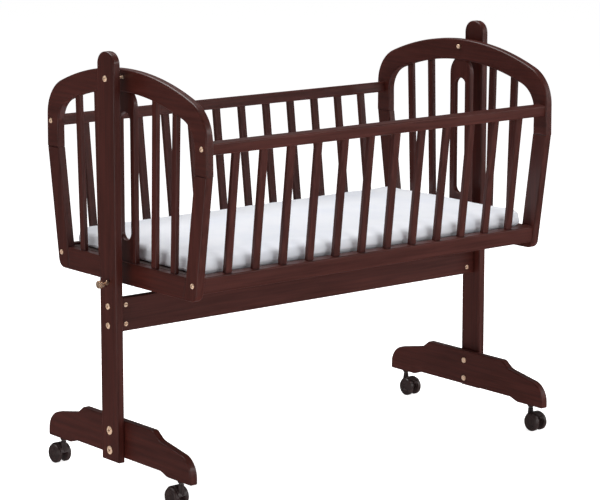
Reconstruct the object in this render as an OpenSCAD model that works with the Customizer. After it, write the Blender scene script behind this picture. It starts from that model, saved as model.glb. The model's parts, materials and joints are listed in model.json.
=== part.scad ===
// Swinging cradle on a stand with casters. Millimetres, +Z up.
// Origin: on the floor, midway between the two posts. +X runs along the cradle to the end without
// the lock pin, -Y is the front, and the cradle swings about an X axis through the two pivot bolts.

/* [Stand] */
// Space between a post and the end frame of the cradle
swing_gap = 26; // [24:0.5:40]
// Width of a post
post_w = 60; // [50:1:80]
// Thickness of a post
post_t = 18; // [16:0.5:26]
// How far a post reaches above the swing axis
post_over = 56; // [45:1:90]
// Radius of the two rounded top corners of a post
post_corner_r = 27; // [10:0.5:28]
// How far a post reaches below the flat underside of its foot
post_drop = 8; // [2:0.5:12]

/* [Feet] */
// Thickness of a foot
foot_t = 18; // [16:0.5:26]
// Half length of a foot
foot_half = 262; // [250:1:300]
// Height of a foot, from its flat underside to its top
foot_h = 81; // [75:1:95]
// Height of that underside above the casters' wheels
caster_rise = 23; // [22:0.5:32]
// How far a caster pad stands below the flat underside
pad_drop = 8; // [3:0.5:10]
// Half length of the flat top of a foot
foot_flat_half = 127; // [100:1:140]
// Drop from the flat top to the start of the nose curve
shoulder_drop = 30; // [24:0.5:36]
// Radius of the nose curve of a foot
nose_r = 48; // [40:1:52]
// Radius of the hollow beside the flat top
hollow_r = 34; // [20:1:40]
// Length of the pad over a caster, from the end of the foot
foot_pad_len = 84; // [66:1:100]
// Length of the slope from the underside to the pad
pad_slope = 22; // [10:1:30]

/* [Stretcher] */
// Height of the stretcher board
stretcher_h = 72; // [60:1:90]
// Thickness of the stretcher board
stretcher_t = 18; // [16:0.5:26]
// Space between its upper edge and the cradle
stretcher_gap = 26; // [20:1:60]
// Distance between the two bolts at each end
stretcher_bolt_gap = 41; // [30:1:48]
// Distance between the two bolts that hold each foot
foot_bolt_gap = 43; // [34:1:50]
// Distance from the top of a foot to the middle of its bolts
foot_bolt_drop = 44; // [38:1:48]

/* [Fasteners] */
// Diameter of the stretcher and foot bolts
bolt_d = 6; // [5:0.5:8]
// Diameter of the head of a stretcher bolt
bolt_head_d = 13; // [11:0.5:15]
// Height of a bolt head
bolt_head_h = 2.6; // [2:0.1:4]
// Diameter of the head of a foot bolt
foot_head_d = 18; // [14:0.5:20]
// Diameter of a barrel nut in the stretcher
barrel_d = 10; // [9:0.5:12]
// Length of a barrel nut
barrel_len = 14; // [10:0.5:16]
// Distance from the end of the stretcher to its barrel nuts
barrel_inset = 21; // [16:0.5:30]
// Diameter of the collar of a foot nut
foot_nut_d = 13; // [11:0.5:16]
// Shank diameter of the screws that hold the side rails
screw_d = 5; // [4:0.25:6]
// Head diameter of those screws
screw_head_d = 11; // [9:0.5:13]
// Length of a rail screw under its head
screw_len = 52; // [40:1:60]
// Depth of the driver socket in every head
socket_depth = 1.6; // [1:0.1:2]
// Extra depth of the two holes that a dowel goes into
dowel_spare = 0.6; // [0.2:0.1:2]
// Diameter of the wooden dowels
dowel_d = 8; // [6:0.5:9]
// Length of a dowel
dowel_len = 36; // [26:1:40]
// Radial clearance of a screw or bolt in the hole that it passes through
hole_clear = 0.25; // [0.1:0.05:0.5]
// Radial clearance of a dowel, a nut or a stem in its own hole
snug_clear = 0.05; // [0.02:0.01:0.1]

/* [Pivot] */
// Distance from the top of the arch to the swing axis
pivot_drop = 17; // [12:0.5:28]
// Diameter of the pivot bolt
pivot_d = 6; // [5:0.5:8]
// Diameter of the pivot bolt's head
pivot_head_d = 13; // [11:0.5:18]
// Height of the pivot bolt's head
pivot_head_h = 3; // [2.5:0.25:5]
// Diameter of the lock nut inside the post
pivot_nut_d = 11; // [10:0.5:16]
// Length of the lock nut
pivot_nut_len = 7; // [5:0.5:12]
// Outer diameter of the bush in the arch
bush_d = 10; // [9:0.5:14]
// Diameter of the cap nut on the end of the pivot bolt
end_nut_d = 9.5; // [9:0.5:14]
// Height of the cap nut
end_nut_h = 4; // [3:0.25:6]
// Thickness of the closed end of the cap nut
end_nut_cap = 1; // [0.6:0.1:1.6]
// Gap between the cap nut and the arch
end_nut_gap = 0.6; // [0.4:0.1:1.5]
// Radial running clearance of a turning or sliding fit
running_clear = 0.05; // [0.02:0.01:0.1]

/* [Lock pin] */
// Height of the lock pin above the lower edge of the cradle
lock_rise = 8; // [6.5:0.5:18]
// Diameter of the lock pin
lock_d = 7; // [5:0.5:8]
// Gap between the tip of the pin and the end rail, as it stands
lock_tip_gap = 10; // [8:0.5:12]
// Depth of the slot in the post that takes the crossbar
lock_slot_depth = 12; // [10:0.5:13]
// How far the crossbar stands off the post
crossbar_off = 7; // [6.5:0.5:12]
// Length of the crossbar
crossbar_len = 22; // [14:1:28]
// Diameter of the crossbar
crossbar_d = 4; // [3:0.25:5]
// Clearance all round the crossbar in its slot
slot_clear = 0.4; // [0.3:0.1:0.8]
// Diameter of the knob
knob_d = 17; // [13:0.5:22]
// Width of the knob
knob_w = 9; // [6:0.5:12]
// Bevel of the knob's edges
knob_bevel = 1.5; // [0.5:0.25:2.5]
// How far the outer face of the knob stands off the post
knob_off = 25; // [22:0.5:32]
// Length of the taper at the tip of the pin
lock_taper = 2; // [1:0.5:4]

/* [Cradle ends] */
// Thickness of an end frame
end_t = 19; // [16:0.5:24]
// Height of the lower edge of the cradle above the floor
cradle_z = 432; // [420:1:480]
// Height of an end frame from that edge to the top of its arch
frame_h = 455; // [440:1:500]
// Distance from the side of the mattress to the outer edge of an arch
pad_side_room = 59.5; // [56:0.5:64]
// Radius of the crown of an arch, outside
crown_r = 630; // [560:5:800]
// Radius of the corner of an arch, outside
corner_r = 85; // [70:1:100]
// Height of an arch at its crown
arch_h = 48; // [44:1:54]
// Width of an arch at its sides
arch_side_w = 42; // [40:0.5:48]
// Radius of the crown of an arch, inside
inner_crown_r = 600; // [540:5:700]
// Radius of the corner of an arch, inside
inner_corner_r = 60; // [45:1:75]
// Distance from the top of an arch down to its joints with the legs
joint_drop = 193; // [185:1:205]
// Width of a leg
leg_w = 41; // [36:0.5:41]
// How far a leg stands inside the arch at the joint
leg_step = 1.5; // [0:0.25:3]
// How far the lower end of a leg stands inside the edge of the arch
leg_splay = 39.2; // [30:0.1:42]
// Radius of the lower outer corner of a leg
leg_corner_r = 20; // [10:1:24]
// Height of an end rail
end_rail_h = 48; // [40:1:52]

/* [Slats] */
// Width of a slat
slat_w = 18; // [14:0.5:22]
// Thickness of a slat
slat_t = 10; // [7:0.5:12]
// How deep a slat sits in its mortise
tenon = 10; // [6:0.5:14]
// Clearance all round a slat in its mortise
mortise_clear = 0.15; // [0.05:0.05:0.3]
// Inner end slats: distance from the middle at the end rail
slat_in_low = 96.5; // [90:0.5:102]
// Inner end slats: distance from the middle at the arch
slat_in_high = 105; // [100:0.5:112]
// Outer end slats: distance from the middle at the end rail
slat_out_low = 164; // [155:0.5:172]
// Outer end slats: distance from the middle at the arch
slat_out_high = 175.5; // [170:0.5:182]
// Width of the centre board
board_w = 68; // [60:1:80]
// Thickness of the centre board
board_t = 12; // [10:0.5:15]
// Radius of the shoulders of the centre board
shoulder_r = 45; // [42:1:60]
// Distance from the arch down to the start of those shoulders
shoulder_below = 33; // [29:0.5:39]
// Width of the slot in the centre board
slot_w = 36; // [26:1:44]
// Distance from the end rail up to the slot
slot_above = 46; // [35:1:80]
// Distance from the start of the shoulders down to the slot
slot_below = 9; // [3:1:45]

/* [Side rails] */
// Height of a top rail
top_rail_h = 24; // [20:0.5:30]
// Distance from the top of an arch down to a top rail
top_rail_drop = 125; // [125:0.5:132]
// Depth of a side rail, front to back
rail_t = 24; // [20:0.5:26]
// How far a top rail stands inside the edge of the arch
top_rail_inset = 4; // [2:0.5:10]
// Height of a bottom rail
low_rail_h = 36; // [30:0.5:40]
// Height of its upper edge above the lower edge of the cradle
low_rail_rise = 52; // [48:0.5:58]
// How far a bottom rail stands inside the edge of the legs
low_rail_inset = 3.7; // [2.7:0.1:7.7]
// Number of slats in each side
side_count = 12; // [11:1:13]
// Distance from the middle of the last slat to the end frame
side_end_gap = 68.1; // [40:0.1:80]

/* [Bed] */
// Thickness of the mattress board
bed_t = 8; // [5:0.5:12]
// How far its upper face lies under the top of the bottom rails
bed_drop = 4; // [2:0.5:6]
// Gap between the mattress board and the frame around it
bed_gap = 1; // [0.5:0.25:3]
// Width and height of a cleat under the board
cleat = 16; // [12:0.5:20]
// Distance from the end of a cleat to the end frame
cleat_gap = 33; // [20:1:160]
// Length of the mattress
pad_len = 914; // [860:1:960]
// Width of the mattress
pad_w = 457; // [440:1:480]
// Space between the end of the mattress and the end frame
pad_end_gap = 6; // [4:0.5:20]
// Thickness of the mattress at its crown
pad_h = 42; // [35:1:50]
// How much lower the mattress is at its edge than at its crown
pad_crown = 7; // [3:0.5:10]
// Radius of the rounded edge of the mattress
pad_edge = 16; // [12:0.5:17]
// How far the long and short sides pull in between the corners
pad_draw = 4; // [1:0.5:6]

/* [Casters] */
// Distance from the end of a foot to a caster's stem
caster_inset = 45; // [37:1:57]
// Diameter of a wheel
wheel_d = 42; // [38:1:46]
// Width of one wheel
wheel_w = 11; // [9:0.5:13]
// Radius of the outer edge of a wheel
wheel_edge_r = 5; // [2:0.5:7]
// Gap between the two wheels of a caster
wheel_gap = 15; // [14:0.5:20]
// Distance from the stem to the axle
trail = 16; // [14:0.5:18]
// Diameter of the axle
axle_d = 5; // [4:0.5:6]
// Wall of the fender over the wheels
hood_wall = 1.6; // [1.2:0.1:2.5]
// Space between a wheel and its fender
hood_gap = 0.8; // [0.5:0.1:1.5]
// How far the fender reaches over each wheel
hood_reach = 4; // [2:0.5:6]
// Diameter of the neck round the stem
neck_d = 12; // [11:0.5:13]
// Diameter of the stem
stem_d = 8; // [7:0.5:9]
// Diameter of the bright ring on the stem
ring_d = 10.5; // [9.5:0.5:12]
// Height of the bright ring
ring_h = 2; // [1:0.25:3]
// How deep a stem and its socket go into the foot
stem_depth = 34; // [24:1:40]
// Outer diameter of a socket
socket_d = 11; // [10.5:0.5:12]
// Diameter of the socket's collar under the foot
collar_d = 14; // [13:0.5:17.5]
// Height of that collar
collar_h = 4; // [2:0.25:5]
// Width of the tab of a brake lever
tab_w = 14; // [10:1:18]
// Diameter of the pivots of a brake lever
lever_pin_d = 2.6; // [2:0.2:3]

/* [Hidden] */
$fn = 48;
big_fn = 240;
skin = 0.01;
// How far a cutting tool reaches past what it cuts
over = 1;
// Radius of the flat top of a head and of its socket, as shares of the head's diameter
flat_share = 0.36;
socket_share = 0.2;
wood = [0.25, 0.11, 0.09];
wood_lit = [0.33, 0.15, 0.12];
brass = [0.80, 0.62, 0.33];
steel = [0.72, 0.72, 0.74];
plastic = [0.10, 0.08, 0.08];
linen = [0.94, 0.95, 0.98];
hardboard = [0.45, 0.31, 0.20];
dowel_wood = [0.80, 0.66, 0.46];

// Along the cradle, from the mattress out to the posts
inner_len = pad_len + 2 * pad_end_gap;
frame_in = inner_len / 2;
frame_out = frame_in + end_t;
frame_mid = frame_in + end_t / 2;
post_in = frame_out + swing_gap;
post_out = post_in + post_t;
foot_in = post_in - foot_t;
foot_mid = post_in - foot_t / 2;

// Up from the floor
foot_under = wheel_d + caster_rise;
foot_top = foot_under + foot_h;
pad_under = foot_under - pad_drop;
post_bottom = foot_under - post_drop;
foot_bolt_z = foot_top - foot_bolt_drop;
stretcher_z = cradle_z - stretcher_gap - stretcher_h;
end_rail_top = cradle_z + end_rail_h;
arch_top = cradle_z + frame_h;
joint_z = arch_top - joint_drop;
pivot_z = arch_top - pivot_drop;
post_top = pivot_z + post_over;
lock_z = cradle_z + lock_rise;
top_rail_z = arch_top - top_rail_drop;
low_rail_z = cradle_z + low_rail_rise;
bed_z = low_rail_z - bed_drop;

// Across the cradle and the feet
arch_half = pad_w / 2 + pad_side_room;
caster_y = foot_half - caster_inset;
pad_start = foot_half - foot_pad_len;

// An arch outline is a crown arc that runs into two corner arcs and then straight down.
function crown_centre(top, r) = top - r;
function corner_height(top, half, r, c) = crown_centre(top, r) + sqrt(pow(r - c, 2) - pow(half - c, 2));
function crown_z(top, r, y) = crown_centre(top, r) + sqrt(r * r - y * y);
inner_half = arch_half - arch_side_w;
inner_top = arch_top - arch_h;
leg_out_top = arch_half - leg_step;
leg_lean = (leg_splay - leg_step) / (joint_z - cradle_z);
function leg_out(z) = leg_out_top - leg_lean * (joint_z - z);
function leg_in(z) = leg_out(z) - leg_w;

// Middles of the two back rails as [Y, Z], and the leaning line between them.
top_rail_mid = [arch_half - top_rail_inset - rail_t / 2, top_rail_z - top_rail_h / 2];
low_rail_out = leg_out(low_rail_z - low_rail_h / 2) - low_rail_inset;
low_rail_mid = [low_rail_out - rail_t / 2, low_rail_z - low_rail_h / 2];
panel_len = norm(top_rail_mid - low_rail_mid);
panel_lean = atan2(top_rail_mid[0] - low_rail_mid[0], top_rail_mid[1] - low_rail_mid[1]);
// How far the inner face of a bottom rail stands from the middle at height z.
function rail_in(z) =
    low_rail_mid[0] - rail_t / 2 / cos(panel_lean) + (z - low_rail_mid[1]) * tan(panel_lean);
side_pitch = (inner_len - 2 * side_end_gap) / (side_count - 1);

// ---- helpers -----------------------------------------------------------------------------------

// A board in a YZ plane: its outline is drawn as (Y, Z) and it runs from x in +X.
module board_yz(x, t) {
    translate([x, 0, 0]) rotate([90, 0, 90]) linear_extrude(t) children();
}

// A round bar along +X from x0 to x1, at height z and depth y.
module bar_x(x0, x1, y, z, r) {
    translate([x0, y, z]) rotate([0, 90, 0]) cylinder(h = x1 - x0, r = r);
}

// A round bar along +Y from y0 to y1.
module bar_y(y0, y1, x, z, r) {
    translate([x, y0, z]) rotate([-90, 0, 0]) cylinder(h = y1 - y0, r = r);
}

// Both ends of the object: the left one as drawn, the right one as its mirror image.
module both_ends() {
    children();
    mirror([1, 0, 0]) children();
}

// Front and back: the back one as drawn.
module both_sides() {
    children();
    mirror([0, 1, 0]) children();
}

// A low domed head on the outer side of a left-hand face at x, with a hexagon socket.
module left_head(x, y, z, d, h) {
    translate([x, y, z]) rotate([0, -90, 0]) difference() {
        rotate_extrude() polygon([[0, 0], [d / 2, 0], [d / 2, h / 2], [d * flat_share, h], [0, h]]);
        translate([0, 0, h - socket_depth])
            cylinder(h = socket_depth + skin, r = d * socket_share, $fn = 6);
    }
}

// ---- stand -------------------------------------------------------------------------------------

module post_outline() {
    flat = post_w / 2 - post_corner_r;
    translate([-post_w / 2, post_bottom]) square([post_w, post_top - post_corner_r - post_bottom]);
    translate([-flat, post_bottom]) square([2 * flat, post_top - post_bottom]);
    for (s = [-1, 1])
        translate([s * flat, post_top - post_corner_r]) circle(post_corner_r, $fn = 96);
}

// Holes in a left post: two for the stretcher, two for the foot and one for the pivot.
module post_holes() {
    far = -post_out - over;
    near = -post_in + over;
    for (z = stretcher_bolt_heights()) bar_x(far, near, 0, z, bolt_d / 2 + hole_clear);
    for (z = foot_bolt_heights()) bar_x(far, near, 0, z, bolt_d / 2 + hole_clear);
    bar_x(far, near, 0, pivot_z, pivot_d / 2 + snug_clear);
}

function stretcher_bolt_heights() =
    [for (s = [-1, 1]) stretcher_z + stretcher_h / 2 + s * stretcher_bolt_gap / 2];
function foot_bolt_heights() = [for (s = [-1, 1]) foot_bolt_z + s * foot_bolt_gap / 2];

// The slanting slot in the left post that the crossbar enters.
module crossbar_slot() {
    wide = crossbar_d + 2 * slot_clear;
    long = crossbar_len + 2 * slot_clear;
    translate([-post_out, 0, lock_z]) rotate([45, 0, 0])
        cube([2 * lock_slot_depth, wide, long], center = true);
}

module left_post() {
    color(wood) difference() {
        board_yz(-post_out, post_t) post_outline();
        post_holes();
        bar_x(-post_out - over, -post_in + over, 0, lock_z, lock_d / 2 + running_clear);
        crossbar_slot();
    }
}

module right_post() {
    color(wood) mirror([1, 0, 0]) difference() {
        board_yz(-post_out, post_t) post_outline();
        post_holes();
    }
}

// The slope beside a foot's flat top, as shares of its drop, and the middle of the hollow in it, as
// shares of the hollow's radius
slope_share = [0.75, 0.55];
hollow_share = [0.34, 0.93];

// Half of a foot's outline: flat top, a hollow, a long slope, the nose and the caster pad.
module half_foot_outline() {
    nose_y = foot_half - nose_r;
    nose_z = foot_top - shoulder_drop - nose_r;
    slope_y = foot_flat_half + shoulder_drop * slope_share[0];
    slope_z = foot_top - shoulder_drop * slope_share[1];
    union() {
        difference() {
            polygon([
                [-skin, foot_under], [pad_start - pad_slope, foot_under], [pad_start, pad_under],
                [foot_half, pad_under], [foot_half, nose_z], [nose_y, nose_z + nose_r],
                [slope_y, slope_z], [foot_flat_half, foot_top], [-skin, foot_top]
            ]);
            translate([slope_y + hollow_r * hollow_share[0], slope_z + hollow_r * hollow_share[1]])
                circle(hollow_r, $fn = 96);
        }
        translate([nose_y, nose_z]) intersection() {
            circle(nose_r, $fn = 96);
            square(nose_r + over);
        }
    }
}

module left_foot_body() {
    difference() {
        board_yz(-post_in, foot_t) union() {
            half_foot_outline();
            mirror([1, 0]) half_foot_outline();
        }
        for (z = foot_bolt_heights())
            bar_x(-post_in - over, -foot_in + over, 0, z, bolt_d / 2 + hole_clear);
        for (s = [-1, 1])
            translate([-foot_mid, s * caster_y, pad_under - over])
                cylinder(h = stem_depth + over, r = socket_d / 2 + snug_clear);
    }
}

module left_foot() { color(wood) left_foot_body(); }
module right_foot() { color(wood) mirror([1, 0, 0]) left_foot_body(); }

module stretcher() {
    color(wood_lit) difference() {
        translate([-post_in, -stretcher_t / 2, stretcher_z]) cube([2 * post_in, stretcher_t, stretcher_h]);
        both_ends() for (z = stretcher_bolt_heights()) {
            bar_x(-post_in - over, -post_in + barrel_inset + barrel_d, 0, z, bolt_d / 2 + hole_clear);
            bar_y(-stretcher_t, -stretcher_t / 2 + barrel_len, -post_in + barrel_inset, z,
                barrel_d / 2 + snug_clear);
        }
    }
}

// How far a stretcher bolt goes on past the barrel nut that it runs through
bolt_past = 2;

module stretcher_bolts() {
    color(brass) both_ends() for (z = stretcher_bolt_heights()) {
        left_head(-post_out, 0, z, bolt_head_d, bolt_head_h);
        bar_x(-post_out - skin, -post_in + barrel_inset + barrel_d / 2 + bolt_past, 0, z, bolt_d / 2);
    }
}

// How much shorter a barrel nut is than its hole, and the slot for a driver in its outer end
barrel_spare = 0.5;
nut_slot_share = 0.7;
nut_slot_deep = 1.9;
nut_slot_w = 1.4;

module barrel_nuts() {
    slot = [nut_slot_share * barrel_d, 2 * nut_slot_deep, nut_slot_w];
    face = -stretcher_t / 2;
    middle = -post_in + barrel_inset;
    color(brass) both_ends() for (z = stretcher_bolt_heights()) difference() {
        bar_y(face, face + barrel_len - barrel_spare, middle, z, barrel_d / 2);
        bar_x(-post_in, middle + barrel_d, 0, z, bolt_d / 2 + snug_clear);
        translate([middle, face, z]) cube(slot, center = true);
    }
}

// A foot bolt runs up to its sleeve nut, whose sleeve goes a quarter of the way into the foot.
sleeve_len = foot_t / 4;
sleeve_gap = 0.9;

module foot_bolts() {
    color(brass) both_ends() for (z = foot_bolt_heights()) {
        left_head(-post_out, 0, z, foot_head_d, bolt_head_h);
        bar_x(-post_out - skin, -foot_in - sleeve_len - sleeve_gap, 0, z, bolt_d / 2);
    }
}

// The sleeve nuts: a round collar on the foot's inner face, with a socket.
module foot_nuts() {
    sleeve_r = bolt_d / 2 + hole_clear - snug_clear;
    color(brass) both_ends() for (z = foot_bolt_heights()) difference() {
        union() {
            bar_x(-foot_in, -foot_in + bolt_head_h, 0, z, foot_nut_d / 2);
            bar_x(-foot_in - sleeve_len, -foot_in + skin, 0, z, sleeve_r);
        }
        translate([-foot_in + bolt_head_h - socket_depth, 0, z]) rotate([0, 90, 0])
            cylinder(h = socket_depth + skin, r = foot_nut_d * socket_share, $fn = 6);
    }
}

// ---- pivots ------------------------------------------------------------------------------------

module pivot_bolts() {
    color(brass) both_ends() {
        left_head(-post_out, 0, pivot_z, pivot_head_d, pivot_head_h);
        bar_x(-post_out - skin, -frame_in + end_nut_gap + end_nut_h - end_nut_cap, 0, pivot_z, pivot_d / 2);
    }
}

module pivot_nuts() {
    color(brass) both_ends() difference() {
        bar_x(-post_in, -post_in + pivot_nut_len, 0, pivot_z, pivot_nut_d / 2);
        bar_x(-post_in - over, -post_in + pivot_nut_len + over, 0, pivot_z, pivot_d / 2 + snug_clear);
    }
}

module pivot_end_nuts() {
    start = -frame_in + end_nut_gap;
    color(brass) both_ends() difference() {
        bar_x(start, start + end_nut_h, 0, pivot_z, end_nut_d / 2);
        bar_x(start - over, start + end_nut_h - end_nut_cap + skin, 0, pivot_z, pivot_d / 2 + snug_clear);
    }
}

module pivot_bushes() {
    color(brass) both_ends() difference() {
        bar_x(-frame_out, -frame_in, 0, pivot_z, bush_d / 2 - snug_clear);
        bar_x(-frame_out - over, -frame_in + over, 0, pivot_z, pivot_d / 2 + running_clear);
    }
}

// ---- lock pin ----------------------------------------------------------------------------------

lock_tip = -frame_out - lock_tip_gap;
knob_face = -post_out - knob_off;
crossbar_x = -post_out - crossbar_off;

// The wall that the knob leaves over the end of the pin
knob_wall = 2;

module lock_pin() {
    color(brass) difference() {
        union() {
            bar_x(knob_face + knob_wall, lock_tip - lock_taper, 0, lock_z, lock_d / 2);
            translate([lock_tip - lock_taper - skin, 0, lock_z]) rotate([0, 90, 0])
                cylinder(h = lock_taper + skin, r1 = lock_d / 2, r2 = (lock_d - lock_taper) / 2);
        }
        translate([crossbar_x, 0, lock_z]) rotate([45, 0, 0])
            cylinder(h = crossbar_len, r = crossbar_d / 2 + snug_clear, center = true);
    }
}

module lock_crossbar() {
    color(brass) translate([crossbar_x, 0, lock_z]) rotate([45, 0, 0])
        cylinder(h = crossbar_len, r = crossbar_d / 2, center = true);
}

module lock_knob() {
    flat_r = knob_d / 2 - knob_bevel;
    color(brass) difference() {
        union() {
            bar_x(knob_face + knob_bevel, knob_face + knob_w - knob_bevel, 0, lock_z, knob_d / 2);
            translate([knob_face, 0, lock_z]) rotate([0, 90, 0])
                cylinder(h = knob_bevel, r1 = flat_r, r2 = knob_d / 2);
            translate([knob_face + knob_w - knob_bevel, 0, lock_z]) rotate([0, 90, 0])
                cylinder(h = knob_bevel, r1 = knob_d / 2, r2 = flat_r);
        }
        bar_x(knob_face + knob_wall - skin, knob_face + knob_w + over, 0, lock_z, lock_d / 2 + snug_clear);
    }
}

// ---- cradle ends -------------------------------------------------------------------------------

module arch_outline(top, half, r, c, low) {
    centre = crown_centre(top, r);
    corner = [half - c, corner_height(top, half, r, c) - centre];
    mirrored = [-corner[0], corner[1]];
    intersection() {
        translate([0, centre]) {
            intersection() {
                circle(r, $fn = 4 * big_fn);
                polygon([mirrored, corner, 2 * corner, 2 * mirrored]);
            }
            for (p = [corner, mirrored]) translate(p) circle(c, $fn = big_fn);
            translate([-half, 0]) square([2 * half, corner[1]]);
        }
        translate([-half, low]) square([2 * half, top - low]);
    }
}

// A slat as a box whose middle line runs from (y0, z0) to (y1, z1); grow widens it all round.
module leaning_slat(y0, z0, y1, z1, grow) {
    run = norm([y1 - y0, z1 - z0]);
    translate([-frame_mid, y0, z0]) rotate([-atan2(y1 - y0, z1 - z0), 0, 0])
        translate([-slat_t / 2 - grow, -slat_w / 2 - grow, -grow])
            cube([slat_t + 2 * grow, slat_w + 2 * grow, run + 2 * grow]);
}

// The four slats of the left end, each let into the end rail and the arch.
module left_slats(grow) {
    for (s = [-1, 1], ends = [[slat_in_low, slat_in_high], [slat_out_low, slat_out_high]]) {
        top = crown_z(inner_top, inner_crown_r, ends[1]);
        lean = (ends[1] - ends[0]) / (top - end_rail_top);
        leaning_slat(s * (ends[0] - lean * tenon), end_rail_top - tenon,
            s * (ends[1] + lean * tenon), top + tenon, grow);
    }
}

shoulder_z = inner_top - shoulder_below;

// Outline of the centre board: straight sides and two shoulders that run into the arch.
module center_board_outline(grow) {
    half = board_w / 2 + grow;
    r = shoulder_r + grow;
    low = end_rail_top - tenon - grow;
    translate([-half, low]) square([2 * half, shoulder_z - low]);
    intersection() {
        translate([half - r, shoulder_z]) circle(r, $fn = 96);
        translate([r - half, shoulder_z]) circle(r, $fn = 96);
        translate([-half, shoulder_z - over]) square([2 * half, r + over]);
    }
}

module center_board_solid(grow) {
    board_yz(-frame_mid - board_t / 2 - grow, board_t + 2 * grow) intersection() {
        center_board_outline(grow);
        translate([-board_w, 0]) square([2 * board_w, inner_top + tenon + grow]);
    }
}

module left_arch_body() {
    difference() {
        board_yz(-frame_out, end_t) difference() {
            arch_outline(arch_top, arch_half, crown_r, corner_r, joint_z);
            arch_outline(inner_top, inner_half, inner_crown_r, inner_corner_r, joint_z - over);
        }
        left_slats(mortise_clear);
        center_board_solid(mortise_clear);
        bar_x(-frame_out - over, -frame_in + over, 0, pivot_z, bush_d / 2);
        for (s = [-1, 1])
            bar_x(-frame_out - over, -frame_in + over, s * top_rail_mid[0], top_rail_mid[1],
                screw_d / 2 + hole_clear);
        arch_dowel_places() dowel_hole();
    }
}

module left_arch() { color(wood) left_arch_body(); }
module right_arch() { color(wood) mirror([1, 0, 0]) left_arch_body(); }

module dowel() { cylinder(h = dowel_len, r = dowel_d / 2, center = true); }
module dowel_hole() { cylinder(h = dowel_len + dowel_spare, r = dowel_d / 2 + snug_clear, center = true); }

// Half the distance between the two dowels of a joint, as a share of the joint's width
dowel_spread = 0.23;

// Middle of each dowel between the left arch and its legs.
module arch_dowel_places() {
    spread = leg_w * dowel_spread;
    for (s = [-1, 1], k = [-1, 1])
        translate([-frame_mid, s * (leg_out_top - leg_w / 2 + k * spread), joint_z]) children();
}

// Middle of each dowel between the left end rail and its legs, with Z turned along Y.
module end_rail_dowel_places() {
    for (s = [-1, 1], k = [-1, 1]) {
        z = cradle_z + end_rail_h * (0.5 + dowel_spread * k);
        translate([-frame_mid, s * leg_in(z), z]) rotate([90, 0, 0]) children();
    }
}

module leg_outline() {
    lean = sqrt(1 + leg_lean * leg_lean);
    corner_z = cradle_z + leg_corner_r;
    corner_y = leg_out(corner_z) - leg_corner_r * lean;
    touch = [leg_corner_r / lean, -leg_corner_r * leg_lean / lean];
    difference() {
        polygon([
            [leg_out(joint_z), joint_z], [leg_out(cradle_z), cradle_z],
            [leg_in(cradle_z), cradle_z], [leg_in(joint_z), joint_z]
        ]);
        difference() {
            polygon([
                [corner_y, corner_z], [corner_y, cradle_z - over],
                [leg_out(cradle_z) + over, cradle_z - over],
                [corner_y, corner_z] + touch + over * [1, -leg_lean],
                [corner_y, corner_z] + touch
            ]);
            translate([corner_y, corner_z]) circle(leg_corner_r, $fn = 96);
        }
    }
}

// The left back leg; the other three are its mirror images.
module leg_body() {
    difference() {
        board_yz(-frame_out, end_t) leg_outline();
        arch_dowel_places() dowel_hole();
        end_rail_dowel_places() dowel_hole();
        bar_x(-frame_out - over, -frame_in + over, low_rail_mid[0], low_rail_mid[1],
            screw_d / 2 + hole_clear);
    }
}

module left_back_leg() { color(wood) leg_body(); }
module left_front_leg() { color(wood) mirror([0, 1, 0]) leg_body(); }
module right_back_leg() { color(wood) mirror([1, 0, 0]) leg_body(); }
module right_front_leg() { color(wood) mirror([1, 0, 0]) mirror([0, 1, 0]) leg_body(); }

module end_rail_body() {
    difference() {
        board_yz(-frame_out, end_t) polygon([
            [-leg_in(cradle_z), cradle_z], [leg_in(cradle_z), cradle_z],
            [leg_in(end_rail_top), end_rail_top], [-leg_in(end_rail_top), end_rail_top]
        ]);
        left_slats(mortise_clear);
        center_board_solid(mortise_clear);
        end_rail_dowel_places() dowel_hole();
    }
}

module left_end_rail() {
    color(wood) difference() {
        end_rail_body();
        bar_x(-frame_out - over, -frame_in + over, 0, lock_z, lock_d / 2 + hole_clear);
    }
}

module right_end_rail() { color(wood) mirror([1, 0, 0]) end_rail_body(); }

module end_slats() { color(wood_lit) both_ends() left_slats(0); }

slot_low = end_rail_top + slot_above;
slot_high = shoulder_z - slot_below;

module center_board_body() {
    difference() {
        center_board_solid(0);
        board_yz(-frame_out, end_t) {
            translate([-slot_w / 2, slot_low + slot_w / 2]) square([slot_w, slot_high - slot_low - slot_w]);
            for (z = [slot_low + slot_w / 2, slot_high - slot_w / 2])
                translate([0, z]) circle(slot_w / 2, $fn = 96);
        }
    }
}

module left_center_board() { color(wood_lit) center_board_body(); }
module right_center_board() { color(wood_lit) mirror([1, 0, 0]) center_board_body(); }

module arch_dowels() {
    color(dowel_wood) both_ends() arch_dowel_places() dowel();
}

module end_rail_dowels() {
    color(dowel_wood) both_ends() end_rail_dowel_places() dowel();
}

// ---- cradle sides ------------------------------------------------------------------------------

// The back side leans out. Its pieces are placed along the leaning line through both rails' middles.
module back_panel() {
    translate([0, low_rail_mid[0], low_rail_mid[1]]) rotate([-panel_lean, 0, 0]) children();
}

module side_slats(grow) {
    run = panel_len - top_rail_h / 2 - low_rail_h / 2 + 2 * tenon;
    back_panel() for (i = [0 : side_count - 1])
        translate([(i - (side_count - 1) / 2) * side_pitch, 0, low_rail_h / 2 - tenon])
            translate([-slat_w / 2 - grow, -slat_t / 2 - grow, -grow])
                cube([slat_w + 2 * grow, slat_t + 2 * grow, run + 2 * grow]);
}

// A rail of the back side, its middle at distance v along the leaning line.
module side_rail(v, h) {
    difference() {
        back_panel() translate([-frame_in, -rail_t / 2, v - h / 2]) cube([inner_len, rail_t, h]);
        side_slats(mortise_clear);
        both_ends() back_panel() bar_x(-frame_in - over, -frame_in + screw_len - end_t + 2 * over, 0, v,
            screw_d / 2 + snug_clear);
    }
}

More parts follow.
